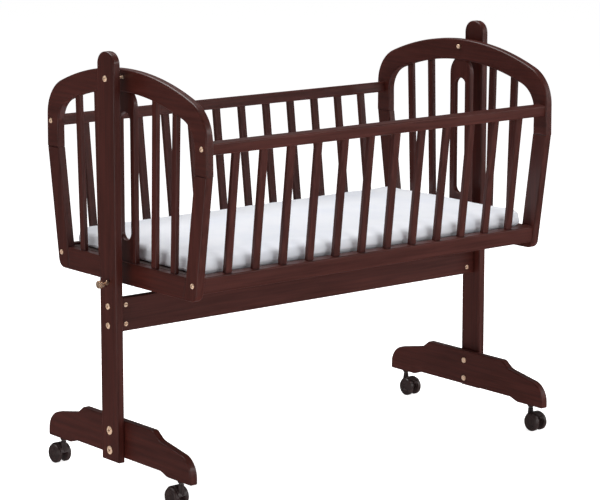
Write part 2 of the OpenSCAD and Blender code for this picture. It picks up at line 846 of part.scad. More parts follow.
module back_top_rail() { color(wood_lit) side_rail(panel_len, top_rail_h); }
module front_top_rail() { color(wood_lit) mirror([0, 1, 0]) side_rail(panel_len, top_rail_h); }
module back_bottom_rail() { color(wood_lit) side_rail(0, low_rail_h); }
module front_bottom_rail() { color(wood_lit) mirror([0, 1, 0]) side_rail(0, low_rail_h); }
module back_slats() { color(wood_lit) side_slats(0); }
module front_slats() { color(wood_lit) mirror([0, 1, 0]) side_slats(0); }

module rail_screws() {
    color(brass) both_ends() both_sides() {
        for (p = [top_rail_mid, low_rail_mid]) {
            left_head(-frame_out, p[0], p[1], screw_head_d, bolt_head_h);
            bar_x(-frame_out - skin, -frame_out + screw_len, p[0], p[1], screw_d / 2);
        }
    }
}

// ---- bed ---------------------------------------------------------------------------------------

bed_half = rail_in(bed_z - bed_t) - bed_gap;

module mattress_board() {
    color(hardboard) translate([-frame_in + bed_gap, -bed_half, bed_z - bed_t])
        cube([inner_len - 2 * bed_gap, 2 * bed_half, bed_t]);
}

module board_cleats() {
    color(wood) both_sides()
        translate([-frame_in + cleat_gap, rail_in(bed_z - bed_t - cleat) - cleat, bed_z - bed_t - cleat])
            cube([inner_len - 2 * cleat_gap, cleat, cleat]);
}

// The mattress is built of rings, from the middle of the underside round the edge to the crown.
pad_gap = 0.3;
ring_n = 60;
pad_low = bed_z + pad_gap;
edge_h = pad_h - pad_crown;
corner_power = 0.16;
function signed_pow(v, p) = sign(v) * pow(abs(v), p);
// One ring: share is its size next to the full outline, back is how far it stands inside it.
function pad_ring(share, back, z) = [for (i = [0 : ring_n - 1])
    let (a = (i + 0.5) * 360 / ring_n,
        u = signed_pow(cos(a), corner_power),
        v = signed_pow(sin(a), corner_power),
        x = (pad_len / 2 - back - pad_draw * (1 - v * v)) * u * share,
        y = (pad_w / 2 - back - pad_draw * (1 - u * u)) * v * share)
    [x, y, z]];
function edge_back(t) = pad_edge * (1 - sin(180 * t));
function edge_rise(t) = pad_low + edge_h * (0.5 - 0.5 * cos(180 * t));
function crown_rise(share) = pad_low + edge_h + pad_crown * (1 - pow(share, 3));
pad_rings = concat(
    [pad_ring(0.5, pad_edge, pad_low)],
    [for (k = [0 : 8]) pad_ring(1, edge_back(k / 8), edge_rise(k / 8))],
    [for (share = [0.92, 0.8, 0.6, 0.35, 0.12]) pad_ring(share, pad_edge, crown_rise(share))]
);

module mattress() {
    rings = len(pad_rings);
    points = [for (r = pad_rings) each r];
    sides = [for (r = [0 : rings - 2], i = [0 : ring_n - 1])
        let (j = (i + 1) % ring_n, a = r * ring_n + i, b = r * ring_n + j, c = a + ring_n, d = b + ring_n)
        each [[a, c, b], [b, c, d]]];
    low_cap = [for (i = [1 : ring_n - 2]) [0, i, i + 1]];
    top = (rings - 1) * ring_n;
    top_cap = [for (i = [1 : ring_n - 2]) [top, top + i + 1, top + i]];
    color(linen) polyhedron(points = points, faces = concat(low_cap, sides, top_cap));
}

// ---- casters -----------------------------------------------------------------------------------

// A caster is drawn round its stem, on the floor, with its wheels trailing towards +Y.
axle_z = wheel_d / 2;
hood_r = wheel_d / 2 + hood_gap + hood_wall;
hood_half = wheel_gap / 2 + hood_reach;
ring_gap = 0.3;
ring_low = pad_under - collar_h - ring_gap - ring_h;
neck_top = ring_low - ring_gap;
// Half width of the part of the hood between the wheels, and of the slot for a brake lever
side_play = 0.35;
cheek_t = 2.6;
lever_play = 0.3;
web = wheel_gap / 2 - side_play;
slot_half = web - cheek_t;
lever_half = slot_half - lever_play;
axle_boss_r = 8;
// The lever's pivot from the axle, its boss, its arm past the pivot and its tab
lever_out = [13.5, 10.5];
lever_y = trail + lever_out[0];
lever_z = axle_z + lever_out[1];
lever_r = 2.6;
lever_reach = 7;
tab_run = 5;
tab_t = 2.2;

module caster_at(left, back) {
    translate([(left ? -1 : 1) * foot_mid, (back ? 1 : -1) * caster_y, 0])
        rotate([0, 0, left ? 0 : 180]) children();
}

// A round bar along +Z at depth y.
module bar_z(y, z0, z1, r) {
    translate([0, y, z0]) cylinder(h = z1 - z0, r = r);
}

// Height over the axle of the lower edge of the fender, and of the foot of the neck
hood_low = 4;
neck_low = 2;

// The fender over the wheels, a web between the wheels that carries the axle, and a neck for the stem.
module hood_solid() {
    difference() {
        bar_x(-hood_half, hood_half, trail, axle_z, hood_r);
        for (side = [0, 1]) mirror([side, 0, 0])
            bar_x(web, hood_half + over, trail, axle_z, hood_r - hood_wall);
        translate([-hood_half - over, trail - hood_r - over, axle_z - hood_r - over])
            cube([2 * (hood_half + over), 2 * (hood_r + over), hood_r + over + hood_low]);
    }
    bar_x(-web, web, trail, axle_z, axle_boss_r);
    bar_z(0, axle_z + neck_low, neck_top, neck_d / 2);
}

module hood_bores() {
    bar_z(0, axle_z - over, neck_top + over, stem_d / 2 + running_clear);
    bar_x(-hood_half, hood_half, trail, axle_z, axle_d / 2 + snug_clear);
}

module hood() {
    difference() {
        hood_solid();
        hood_bores();
    }
}

// What the lever needs free: in front of its boss, over its pivot and behind its pivot
slot_room = 3;
open_front = 6;
open_above = 4;
open_behind = 3.5;

// Takes away the hood's upper rear corner from depth y and height z on, over a width of 2 * half.
module hood_corner(half, y, z) {
    translate([-half, y, z]) cube([2 * half, trail + hood_r + over - y, axle_z + hood_r + over - z]);
}

// The hood of a caster with a brake: a slot between two cheeks takes the lever.
module brake_hood() {
    difference() {
        hood_solid();
        hood_bores();
        bar_x(-hood_half, hood_half, lever_y, lever_z, lever_pin_d / 2 + running_clear);
        hood_corner(slot_half, lever_y - lever_r - slot_room, axle_z - over);
        hood_corner(hood_half + over, lever_y - open_front, lever_z + open_above);
        hood_corner(hood_half + over, lever_y + open_behind, axle_z + hood_low);
    }
}

// Radius of the dish in a wheel's face, as a share of its diameter, its depth, and how far the axle
// stops short of that face
dish_share = 0.3;
dish_depth = 1;
axle_short = 1.2;

// One wheel: a tyre with a rounded outer edge and a shallow dish, bored for the axle.
module wheel(side) {
    round_z = wheel_w - wheel_edge_r;
    dish_r = wheel_d * dish_share;
    translate([0, trail, axle_z]) rotate([0, side * 90, 0]) translate([0, 0, wheel_gap / 2])
        rotate_extrude($fn = 96) difference() {
            union() {
                square([wheel_d / 2, round_z]);
                square([wheel_d / 2 - wheel_edge_r, wheel_w]);
                translate([wheel_d / 2 - wheel_edge_r, round_z]) circle(wheel_edge_r, $fn = 64);
            }
            translate([-over, -over]) square([over + axle_d / 2 + running_clear, wheel_w + 2 * over]);
            translate([0, wheel_w - dish_depth]) square([dish_r, dish_depth + over]);
        }
}

module axle() {
    reach = wheel_gap / 2 + wheel_w - axle_short;
    bar_x(-reach, reach, trail, axle_z, axle_d / 2);
}

// The brake lever: an arm with two pivots in the cheeks of the hood, and a tab for a toe to press.
module brake_lever() {
    bar_x(-web, web, lever_y, lever_z, lever_pin_d / 2);
    bar_x(-lever_half, lever_half, lever_y, lever_z, lever_r);
    translate([-lever_half, lever_y, lever_z - over]) cube([2 * lever_half, lever_reach, lever_r + over]);
    translate([-tab_w / 2, lever_y + tab_run, lever_z + lever_r - skin]) cube([tab_w, tab_run, tab_t]);
}

// How much narrower a socket's collar is at its lower edge, how far the socket stops short of the
// bottom of its hole, and the height over the axle at which a stem starts
collar_flare = 1.2;
stem_spare = 0.5;
stem_low = 5;

module caster_sockets() {
    color(plastic) both_ends() for (s = [-1, 1]) translate([-foot_mid, s * caster_y, 0]) difference() {
        union() {
            translate([0, 0, pad_under - collar_h])
                cylinder(h = collar_h, r1 = collar_d / 2 - collar_flare, r2 = collar_d / 2);
            bar_z(0, pad_under - skin, pad_under + stem_depth - stem_spare, socket_d / 2);
        }
        bar_z(0, pad_under - collar_h - over, pad_under + stem_depth, stem_d / 2 + snug_clear);
    }
}

module caster_stems() {
    color(steel) both_ends() for (s = [-1, 1]) translate([-foot_mid, s * caster_y, 0]) {
        bar_z(0, axle_z + stem_low, pad_under + stem_depth - 2 * stem_spare, stem_d / 2);
        bar_z(0, ring_low, ring_low + ring_h, ring_d / 2);
    }
}

module left_front_hood() { color(plastic) caster_at(true, false) hood(); }
module left_back_hood() { color(plastic) caster_at(true, true) hood(); }
module right_front_hood() { color(plastic) caster_at(false, false) brake_hood(); }
module right_back_hood() { color(plastic) caster_at(false, true) brake_hood(); }
module left_front_wheel_a() { color(plastic) caster_at(true, false) wheel(-1); }
module left_front_wheel_b() { color(plastic) caster_at(true, false) wheel(1); }
module left_back_wheel_a() { color(plastic) caster_at(true, true) wheel(-1); }
module left_back_wheel_b() { color(plastic) caster_at(true, true) wheel(1); }
module right_front_wheel_a() { color(plastic) caster_at(false, false) wheel(-1); }
module right_front_wheel_b() { color(plastic) caster_at(false, false) wheel(1); }
module right_back_wheel_a() { color(plastic) caster_at(false, true) wheel(-1); }
module right_back_wheel_b() { color(plastic) caster_at(false, true) wheel(1); }
module left_front_axle() { color(steel) caster_at(true, false) axle(); }
module left_back_axle() { color(steel) caster_at(true, true) axle(); }
module right_front_axle() { color(steel) caster_at(false, false) axle(); }
module right_back_axle() { color(steel) caster_at(false, true) axle(); }
module right_front_brake() { color(plastic) caster_at(false, false) brake_lever(); }
module right_back_brake() { color(plastic) caster_at(false, true) brake_lever(); }

left_post();
right_post();
left_foot();
right_foot();
stretcher();
stretcher_bolts();
barrel_nuts();
foot_bolts();
foot_nuts();
pivot_bolts();
pivot_nuts();
pivot_end_nuts();
caster_sockets();
caster_stems();
lock_pin();
lock_crossbar();
lock_knob();
left_arch();
right_arch();
left_front_leg();
left_back_leg();
right_front_leg();
right_back_leg();
left_end_rail();
right_end_rail();
end_slats();
left_center_board();
right_center_board();
front_top_rail();
back_top_rail();
front_bottom_rail();
back_bottom_rail();
front_slats();
back_slats();
rail_screws();
arch_dowels();
end_rail_dowels();
pivot_bushes();
mattress_board();
board_cleats();
mattress();
left_front_hood();
left_front_wheel_a();
left_front_wheel_b();
left_front_axle();
left_back_hood();
left_back_wheel_a();
left_back_wheel_b();
left_back_axle();
right_front_hood();
right_front_wheel_a();
right_front_wheel_b();
right_front_axle();
right_back_hood();
right_back_wheel_a();
right_back_wheel_b();
right_back_axle();
right_front_brake();
right_back_brake();
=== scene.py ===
import json
import logging
import math
from dataclasses import dataclass, field
from enum import Enum
from typing import Callable, Optional, Sequence

import bmesh
import bpy
from mathutils import Matrix, Vector, noise
from mathutils.geometry import tessellate_polygon


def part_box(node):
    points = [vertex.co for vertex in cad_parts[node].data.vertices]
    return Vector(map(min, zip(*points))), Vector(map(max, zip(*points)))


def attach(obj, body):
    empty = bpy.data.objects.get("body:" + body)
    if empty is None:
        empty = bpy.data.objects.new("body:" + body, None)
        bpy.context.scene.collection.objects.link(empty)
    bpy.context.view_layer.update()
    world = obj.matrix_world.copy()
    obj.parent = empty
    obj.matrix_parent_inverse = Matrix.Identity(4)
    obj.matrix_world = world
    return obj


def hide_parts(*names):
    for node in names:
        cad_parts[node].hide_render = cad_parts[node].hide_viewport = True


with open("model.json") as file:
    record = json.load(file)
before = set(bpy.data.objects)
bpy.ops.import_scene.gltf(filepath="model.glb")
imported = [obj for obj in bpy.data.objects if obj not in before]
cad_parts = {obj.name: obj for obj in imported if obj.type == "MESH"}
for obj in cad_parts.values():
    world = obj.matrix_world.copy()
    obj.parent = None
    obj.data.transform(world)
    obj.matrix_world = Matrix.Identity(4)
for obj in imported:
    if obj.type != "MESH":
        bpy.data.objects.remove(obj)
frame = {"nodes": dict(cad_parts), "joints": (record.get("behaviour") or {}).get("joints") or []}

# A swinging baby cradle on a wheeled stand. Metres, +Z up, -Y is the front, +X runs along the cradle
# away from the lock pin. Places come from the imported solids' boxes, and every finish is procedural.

LOG = logging.getLogger("cradle")
MM = 0.001
NEAR = 1e-6
WELD = 1e-7
# Edges that bend by more than this stay sharp, unless a piece has an angle of its own.
SHARP_DEG = 42.0

Point = tuple[float, float]
Color = tuple[float, float, float]
Faces = list[tuple[int, ...]]


class Grain(Enum):
    """The axis along which a wooden piece's grain runs."""

    ALONG_X = "x"
    ALONG_Y = "y"
    ALONG_Z = "z"


class Plane(Enum):
    """How a flat outline (u, v) and its thickness w lie in the object's frame."""

    YZ = ((0, 1, 0), (0, 0, 1), (1, 0, 0))
    XZ = ((1, 0, 0), (0, 0, 1), (0, -1, 0))

    def matrix(self) -> Matrix:
        """Gives the matrix that takes (u, v, w) to the object's frame."""
        return Matrix(self.value).transposed().to_4x4()


# ---- outlines ----------------------------------------------------------------------------------


def arc(centre: Point, radius: float, start: float, end: float, steps: int) -> list[Point]:
    """Gives points along an arc, both ends included.

    Args:
        centre: The arc's centre.
        radius: Its radius.
        start: The angle of its first point, in degrees.
        end: The angle of its last point, in degrees.
        steps: The number of stretches between its points.

    Returns:
        The points, in order.
    """
    turns = [math.radians(start + (end - start) * k / steps) for k in range(steps + 1)]
    return [(centre[0] + radius * math.cos(a), centre[1] + radius * math.sin(a)) for a in turns]


def rounded(corners: Sequence[Point], radii: Sequence[float], steps: int = 6) -> list[Point]:
    """Rounds the corners of a closed outline.

    Args:
        corners: The outline's corners, in order.
        radii: The radius at each corner; 0 leaves it sharp.
        steps: The number of stretches in each rounded corner.

    Returns:
        The outline with an arc in place of each corner.
    """
    out: list[Point] = []
    count = len(corners)
    for k, (corner, radius) in enumerate(zip(corners, radii)):
        here = Vector(corner)
        back = (Vector(corners[k - 1]) - here).normalized()
        ahead = (Vector(corners[(k + 1) % count]) - here).normalized()
        half = math.acos(max(-1.0, min(1.0, back.dot(ahead)))) / 2
        if radius <= 0 or abs(half - math.pi / 2) < 1e-4:
            out.append(corner)
            continue
        reach = radius / math.tan(half)
        middle = here + (back + ahead).normalized() * (radius / math.sin(half))
        first = here + back * reach - middle
        last = here + ahead * reach - middle
        start = math.atan2(first.y, first.x)
        sweep = math.atan2(first.x * last.y - first.y * last.x, first.dot(last))
        for j in range(steps + 1):
            a = start + sweep * j / steps
            out.append((middle.x + radius * math.cos(a), middle.y + radius * math.sin(a)))
    return out


def smooth(share: float) -> float:
    """Holds a share between 0 and 1 and eases it at both ends."""
    share = max(0.0, min(1.0, share))
    return share * share * (3 - 2 * share)


def mirrored(points: Sequence[Point]) -> list[Point]:
    """Gives an outline mirrored in u, in the same turning sense."""
    return [(-u, v) for u, v in reversed(points)]


def shrunk(loop: Sequence[Point], depths: Sequence[float]) -> list[Point]:
    """Moves each point of a loop into the material.

    Args:
        loop: An outline that turns left round its material.
        depths: How far each point moves.

    Returns:
        The moved points.
    """
    out = []
    count = len(loop)
    for k in range(count):
        here = Vector(loop[k])
        before = (here - Vector(loop[k - 1])).normalized()
        after = (Vector(loop[(k + 1) % count]) - here).normalized()
        left_a = Vector((-before.y, before.x))
        left_b = Vector((-after.y, after.x))
        share = 1 + left_a.dot(left_b)
        step = (left_a + left_b) / share if share > 0.2 else left_a
        out.append(tuple(here + step * depths[k]))
    return out


# ---- meshes ------------------------------------------------------------------------------------


def eased_slab(outer: Sequence[Point], thickness: tuple[float, float], ease: float,
               holes: Sequence[Sequence[Point]] = (), soft: Optional[Callable[[Point], float]] = None,
               steps: int = 4) -> tuple[list[Vector], Faces]:
    """Builds a board with rounded-over edges from its outline.

    Args:
        outer: The outline, turning left round the board.
        thickness: The board's lower and upper w.
        ease: The radius of the rounded-over edges.
        holes: Outlines of holes, turning right, so that the board lies to their left.
        soft: Gives each outline point a share of the ease, such as less at a joint.
        steps: The number of stretches in a rounded edge.

    Returns:
        The vertices as (u, v, w) and the faces.
    """
    low, high = thickness
    ease = min(ease, (high - low) / 2 - 1e-5)
    share = soft or (lambda point: 1.0)
    verts: list[Vector] = []
    faces: Faces = []
    turns = [math.pi / 2 * k / steps for k in range(steps + 1)]
    levels = [(1 - math.sin(a), 1 - math.cos(a), 1) for a in turns]
    levels += [(d, h, -1) for d, h, _ in reversed(levels)]
    caps: tuple[list[list[int]], list[list[int]]] = ([], [])
    for loop in [outer, *holes]:
        amounts = [ease * share(p) for p in loop]
        rings = []
        for depth, height, side in levels:
            ring = shrunk(loop, [depth * a for a in amounts])
            start = len(verts)
            for (u, v), a in zip(ring, amounts):
                verts.append(Vector((u, v, high - height * a if side > 0 else low + height * a)))
            rings.append(list(range(start, len(verts))))
        for upper, lower in zip(rings, rings[1:]):
            for k in range(len(loop)):
                j = (k + 1) % len(loop)
                faces.append((upper[j], upper[k], lower[k], lower[j]))
        caps[0].append(rings[0])
        caps[1].append(rings[-1])
    for cap, up in zip(caps, (True, False)):
        flat = [i for ring in cap for i in ring]
        for tri in tessellate_polygon([[verts[i].to_2d().to_3d() for i in ring] for ring in cap]):
            a, b, c = (flat[i] for i in tri)
            turn = (verts[b] - verts[a]).to_2d().cross((verts[c] - verts[a]).to_2d())
            if abs(turn) > 1e-14:
                faces.append((a, b, c) if (turn > 0) == up else (a, c, b))
    return verts, faces


def turned(profile: Sequence[Point], around: int = 48,
           bumps: Optional[Callable[[float, int], float]] = None) -> tuple[list[Vector], Faces]:
    """Builds a turned piece round the w axis.

    Args:
        profile: Points (radius, w) from one pole to the other, both poles at radius 0, with the
            piece to their left.
        around: The number of faces round the axis.
        bumps: Gives a factor on the radius for an angle and a profile point's number.

    Returns:
        The vertices as (u, v, w) and the faces.
    """
    verts: list[Vector] = []
    faces: Faces = []
    rings: list[list[int]] = []
    for number, (radius, w) in enumerate(profile):
        start = len(verts)
        if radius <= 1e-9:
            verts.append(Vector((0, 0, w)))
            rings.append([start])
            continue
        for k in range(around):
            a = 2 * math.pi * k / around
            r = radius * (bumps(a, number) if bumps else 1.0)
            verts.append(Vector((r * math.cos(a), r * math.sin(a), w)))
        rings.append(list(range(start, start + around)))
    for lower, upper in zip(rings, rings[1:]):
        for k in range(around):
            j = (k + 1) % around
            if len(lower) == 1:
                faces.append((lower[0], upper[j], upper[k]))
            elif len(upper) == 1:
                faces.append((lower[k], lower[j], upper[0]))
            else:
                faces.append((lower[k], lower[j], upper[j], upper[k]))
    return verts, faces


def turned_ring(profile: Sequence[Point], around: int) -> tuple[list[Vector], Faces]:
    """Builds a turned ring round the w axis.

    Args:
        profile: The closed profile's points (radius, w), each once.
        around: The number of faces round the axis.

    Returns:
        The vertices as (u, v, w) and the faces.
    """
    count = len(profile)
    turns = [2 * math.pi * k / around for k in range(around)]
    verts = [Vector((r * math.cos(a), r * math.sin(a), w)) for a in turns for r, w in profile]
    faces: Faces = []
    for k in range(around):
        here, ahead = k * count, (k + 1) % around * count
        for i in range(count):
            j = (i + 1) % count
            faces.append((here + i, ahead + i, ahead + j, here + j))
    return verts, faces


class Shape:
    """A mesh under construction: closed shells that are added one by one."""

    def __init__(self) -> None:
        """Starts with no shells."""
        self.mesh = bmesh.new()

    def add(self, shell: tuple[list[Vector], Faces], place: Matrix = Matrix.Identity(4)) -> "Shape":
        """Adds one closed shell.

        Args:
            shell: Its vertices and faces.
            place: Where it goes. A mirroring place is allowed.

        Returns:
            This shape, so that calls can follow each other.
        """
        verts, faces = shell
        made = [self.mesh.verts.new(place @ v) for v in verts]
        new_faces = []
        for face in faces:
            if len(set(face)) == len(face):
                new_faces.append(self.mesh.faces.new([made[i] for i in face]))
        bmesh.ops.recalc_face_normals(self.mesh, faces=new_faces)
        return self

    def finish(self, name: str, material: bpy.types.Material,
               sharp_deg: float = SHARP_DEG) -> bpy.types.Object:
        """Turns the shells into a finished object with weighted normals.

        Args:
            name: The object's name.
            material: Its material.
            sharp_deg: Edges that bend by more than this stay sharp.

        Returns:
            The object, at the origin.
        """
        bmesh.ops.remove_doubles(self.mesh, verts=self.mesh.verts, dist=WELD)
        mark_sharp(self.mesh, sharp_deg)
        data = bpy.data.meshes.new(name)
        self.mesh.to_mesh(data)
        self.mesh.free()
        data.materials.append(material)
        return with_even_normals(link(name, data))


def link(name: str, data: bpy.types.Mesh) -> bpy.types.Object:
    """Makes an object of a mesh and puts it in the scene.

    Args:
        name: The object's name.
        data: Its mesh.

    Returns:
        The object.
    """
    made = bpy.data.objects.new(name, data)
    bpy.context.scene.collection.objects.link(made)
    return made


def applied(piece: bpy.types.Object) -> bpy.types.Object:
    """Bakes a piece's modifiers into its mesh and removes them.

    Args:
        piece: The object.

    Returns:
        The same object with a plain mesh.
    """
    bpy.context.view_layer.update()
    seen = piece.evaluated_get(bpy.context.evaluated_depsgraph_get())
    data = bpy.data.meshes.new_from_object(seen)
    data.name = piece.name
    piece.modifiers.clear()
    piece.data = data
    return piece


def with_even_normals(piece: bpy.types.Object) -> bpy.types.Object:
    """Lets the large flat faces of a piece set its shading, so that they look flat.

    Args:
        piece: The object.

    Returns:
        The same object, with its normals baked in.
    """
    modifier = piece.modifiers.new("even_normals", "WEIGHTED_NORMAL")
    modifier.keep_sharp = True
    return applied(piece)


def mark_sharp(shell: bmesh.types.BMesh, sharp_deg: float) -> None:
    """Shades a mesh smooth, apart from the edges that bend by more than an angle.

    Args:
        shell: The mesh.
        sharp_deg: The angle.
    """
    for face in shell.faces:
        face.smooth = True
    for edge in shell.edges:
        edge.smooth = len(edge.link_faces) == 2 and edge.calc_face_angle(0.0) < math.radians(sharp_deg)


def sharpened(piece: bpy.types.Object, sharp_deg: float) -> bpy.types.Object:
    """Clears a piece of slivers, marks its sharp edges afresh and evens its normals.

    Args:
        piece: The object.
        sharp_deg: Edges that bend by more than this stay sharp.

    Returns:
        The same object.
    """
    shell = bmesh.new()
    shell.from_mesh(piece.data)
    bmesh.ops.dissolve_degenerate(shell, edges=shell.edges, dist=NEAR)
    mark_sharp(shell, sharp_deg)
    shell.to_mesh(piece.data)
    shell.free()
    return with_even_normals(piece)


def joined(name: str, parts: Sequence[bpy.types.Object]) -> bpy.types.Object:
    """Joins several finished objects into one.

    Args:
        name: The new object's name.
        parts: The objects, which are removed.

    Returns:
        The new object, at the origin.
    """
    shell = bmesh.new()
    material = parts[0].data.materials[-1]
    for part in parts:
        shell.from_mesh(part.data)
        bpy.data.objects.remove(part)
    for face in shell.faces:
        face.material_index = 0
    data = bpy.data.meshes.new(name)
    shell.to_mesh(data)
    shell.free()
    data.materials.append(material)
    return with_even_normals(link(name, data))


# ---- Geometry Nodes ----------------------------------------------------------------------------


class Tree:
    """A Geometry Nodes tree under construction, with named inputs."""

    KINDS = {float: "NodeSocketFloat", int: "NodeSocketInt", Vector: "NodeSocketVector",
             bpy.types.Object: "NodeSocketObject", bpy.types.Material: "NodeSocketMaterial"}

    def __init__(self, name: str, inputs: dict[str, type]) -> None:
        """Makes an empty tree.

        Args:
            name: The tree's name.
            inputs: The kind of each named input.
        """
        self.group = bpy.data.node_groups.new(name, "GeometryNodeTree")
        face = self.group.interface
        face.new_socket("Geometry", in_out="INPUT", socket_type="NodeSocketGeometry")
        face.new_socket("Geometry", in_out="OUTPUT", socket_type="NodeSocketGeometry")
        for label, kind in inputs.items():
            face.new_socket(label, in_out="INPUT", socket_type=self.KINDS[kind])
        self.inputs = self.group.nodes.new("NodeGroupInput")

    def given(self, label: str) -> bpy.types.NodeSocket:
        """Gives the socket of a named input."""
        return self.inputs.outputs[label]

    def node(self, kind: str, settings: Optional[dict[str, object]] = None,
             **sockets: object) -> bpy.types.NodeSocket:
        """Adds a node and fills its sockets.

        Args:
            kind: The node's type.
            settings: Values of the node's own properties.
            sockets: A value or another node's socket for each input, with _ for a space.

        Returns:
            The node's first output.
        """
        made = self.group.nodes.new(kind)
        for label, value in (settings or {}).items():
            setattr(made, label, value)
        for label, value in sockets.items():
            socket = made.inputs[label.replace("_", " ")]
            if isinstance(value, bpy.types.NodeSocket):
                self.group.links.new(value, socket)
            else:
                socket.default_value = value
        return made.outputs[0]

    def end(self, geometry: bpy.types.NodeSocket) -> bpy.types.NodeTree:
        """Realizes the instances, sets the material and ends the tree.

        Args:
            geometry: What the tree has made.

        Returns:
            The finished tree.
        """
        real = self.node("GeometryNodeRealizeInstances", Geometry=geometry)
        dressed = self.node("GeometryNodeSetMaterial", Geometry=real, Material=self.given("Finish"))
        out = self.group.nodes.new("NodeGroupOutput")
        self.group.links.new(dressed, out.inputs[0])
        return self.group


def grown(name: str, tree: bpy.types.NodeTree, values: dict[str, object],
          places: Sequence[Vector] = (), sharp_deg: float = SHARP_DEG) -> bpy.types.Object:
    """Runs a tree once and keeps its result as a plain mesh.

    Args:
        name: The new object's name.
        tree: The Geometry Nodes tree.
        values: A value for each named input.
        places: Points that the tree gets as its geometry.
        sharp_deg: Edges that bend by more than this stay sharp.

    Returns:
        The finished object, at the origin.
    """
    data = bpy.data.meshes.new(name)
    data.from_pydata([tuple(p) for p in places], [], [])
    piece = link(name, data)
    modifier = piece.modifiers.new("grow", "NODES")
    modifier.node_group = tree
    for item in tree.interface.items_tree:
        if item.in_out == "INPUT" and item.name in values:
            value = values[item.name]
            modifier[item.identifier] = tuple(value) if isinstance(value, Vector) else value
    return sharpened(applied(piece), sharp_deg)


def bar_row_tree() -> bpy.types.NodeTree:
    """Builds the tree for a row of equal rounded bars that may lean.

    Returns:
        The tree. Its bars start at First, Step apart, and each runs along Reach.
    """
    tree = Tree("bar_row", {"Count": int, "First": Vector, "Step": Vector, "Reach": Vector, "Width": float,
                            "Thickness": float, "Edge Radius": float, "Finish": bpy.types.Material})
    outline = tree.node("GeometryNodeCurvePrimitiveQuadrilateral", Width=tree.given("Width"),
                        Height=tree.given("Thickness"))
    eased = tree.node("GeometryNodeFilletCurve", {"mode": "POLY"}, Curve=outline, Count=3,
                      Radius=tree.given("Edge Radius"))
    path = tree.node("GeometryNodeCurvePrimitiveLine", End=tree.given("Reach"))
    bar = tree.node("GeometryNodeCurveToMesh", Curve=path, Profile_Curve=eased, Fill_Caps=True)
    row = tree.node("GeometryNodeMeshLine", Count=tree.given("Count"), Start_Location=tree.given("First"),
                    Offset=tree.given("Step"))
    return tree.end(tree.node("GeometryNodeInstanceOnPoints", Points=row, Instance=bar))


def on_places_tree() -> bpy.types.NodeTree:
    """Builds the tree that sets a copy of one piece on each point it is given.

    Returns:
        The tree. Turn is the copies' rotation and Size their scale.
    """
    tree = Tree("on_places", {"Piece": bpy.types.Object, "Turn": Vector, "Size": Vector,
                              "Finish": bpy.types.Material})
    source = tree.group.nodes.new("GeometryNodeObjectInfo")
    tree.group.links.new(tree.given("Piece"), source.inputs["Object"])
    copies = tree.node("GeometryNodeInstanceOnPoints", Points=tree.given("Geometry"),
                       Instance=source.outputs["Geometry"], Rotation=tree.given("Turn"),
                       Scale=tree.given("Size"))
    return tree.end(copies)


# ---- finishes ----------------------------------------------------------------------------------

EVENLY = (1.0, 1.0, 1.0)


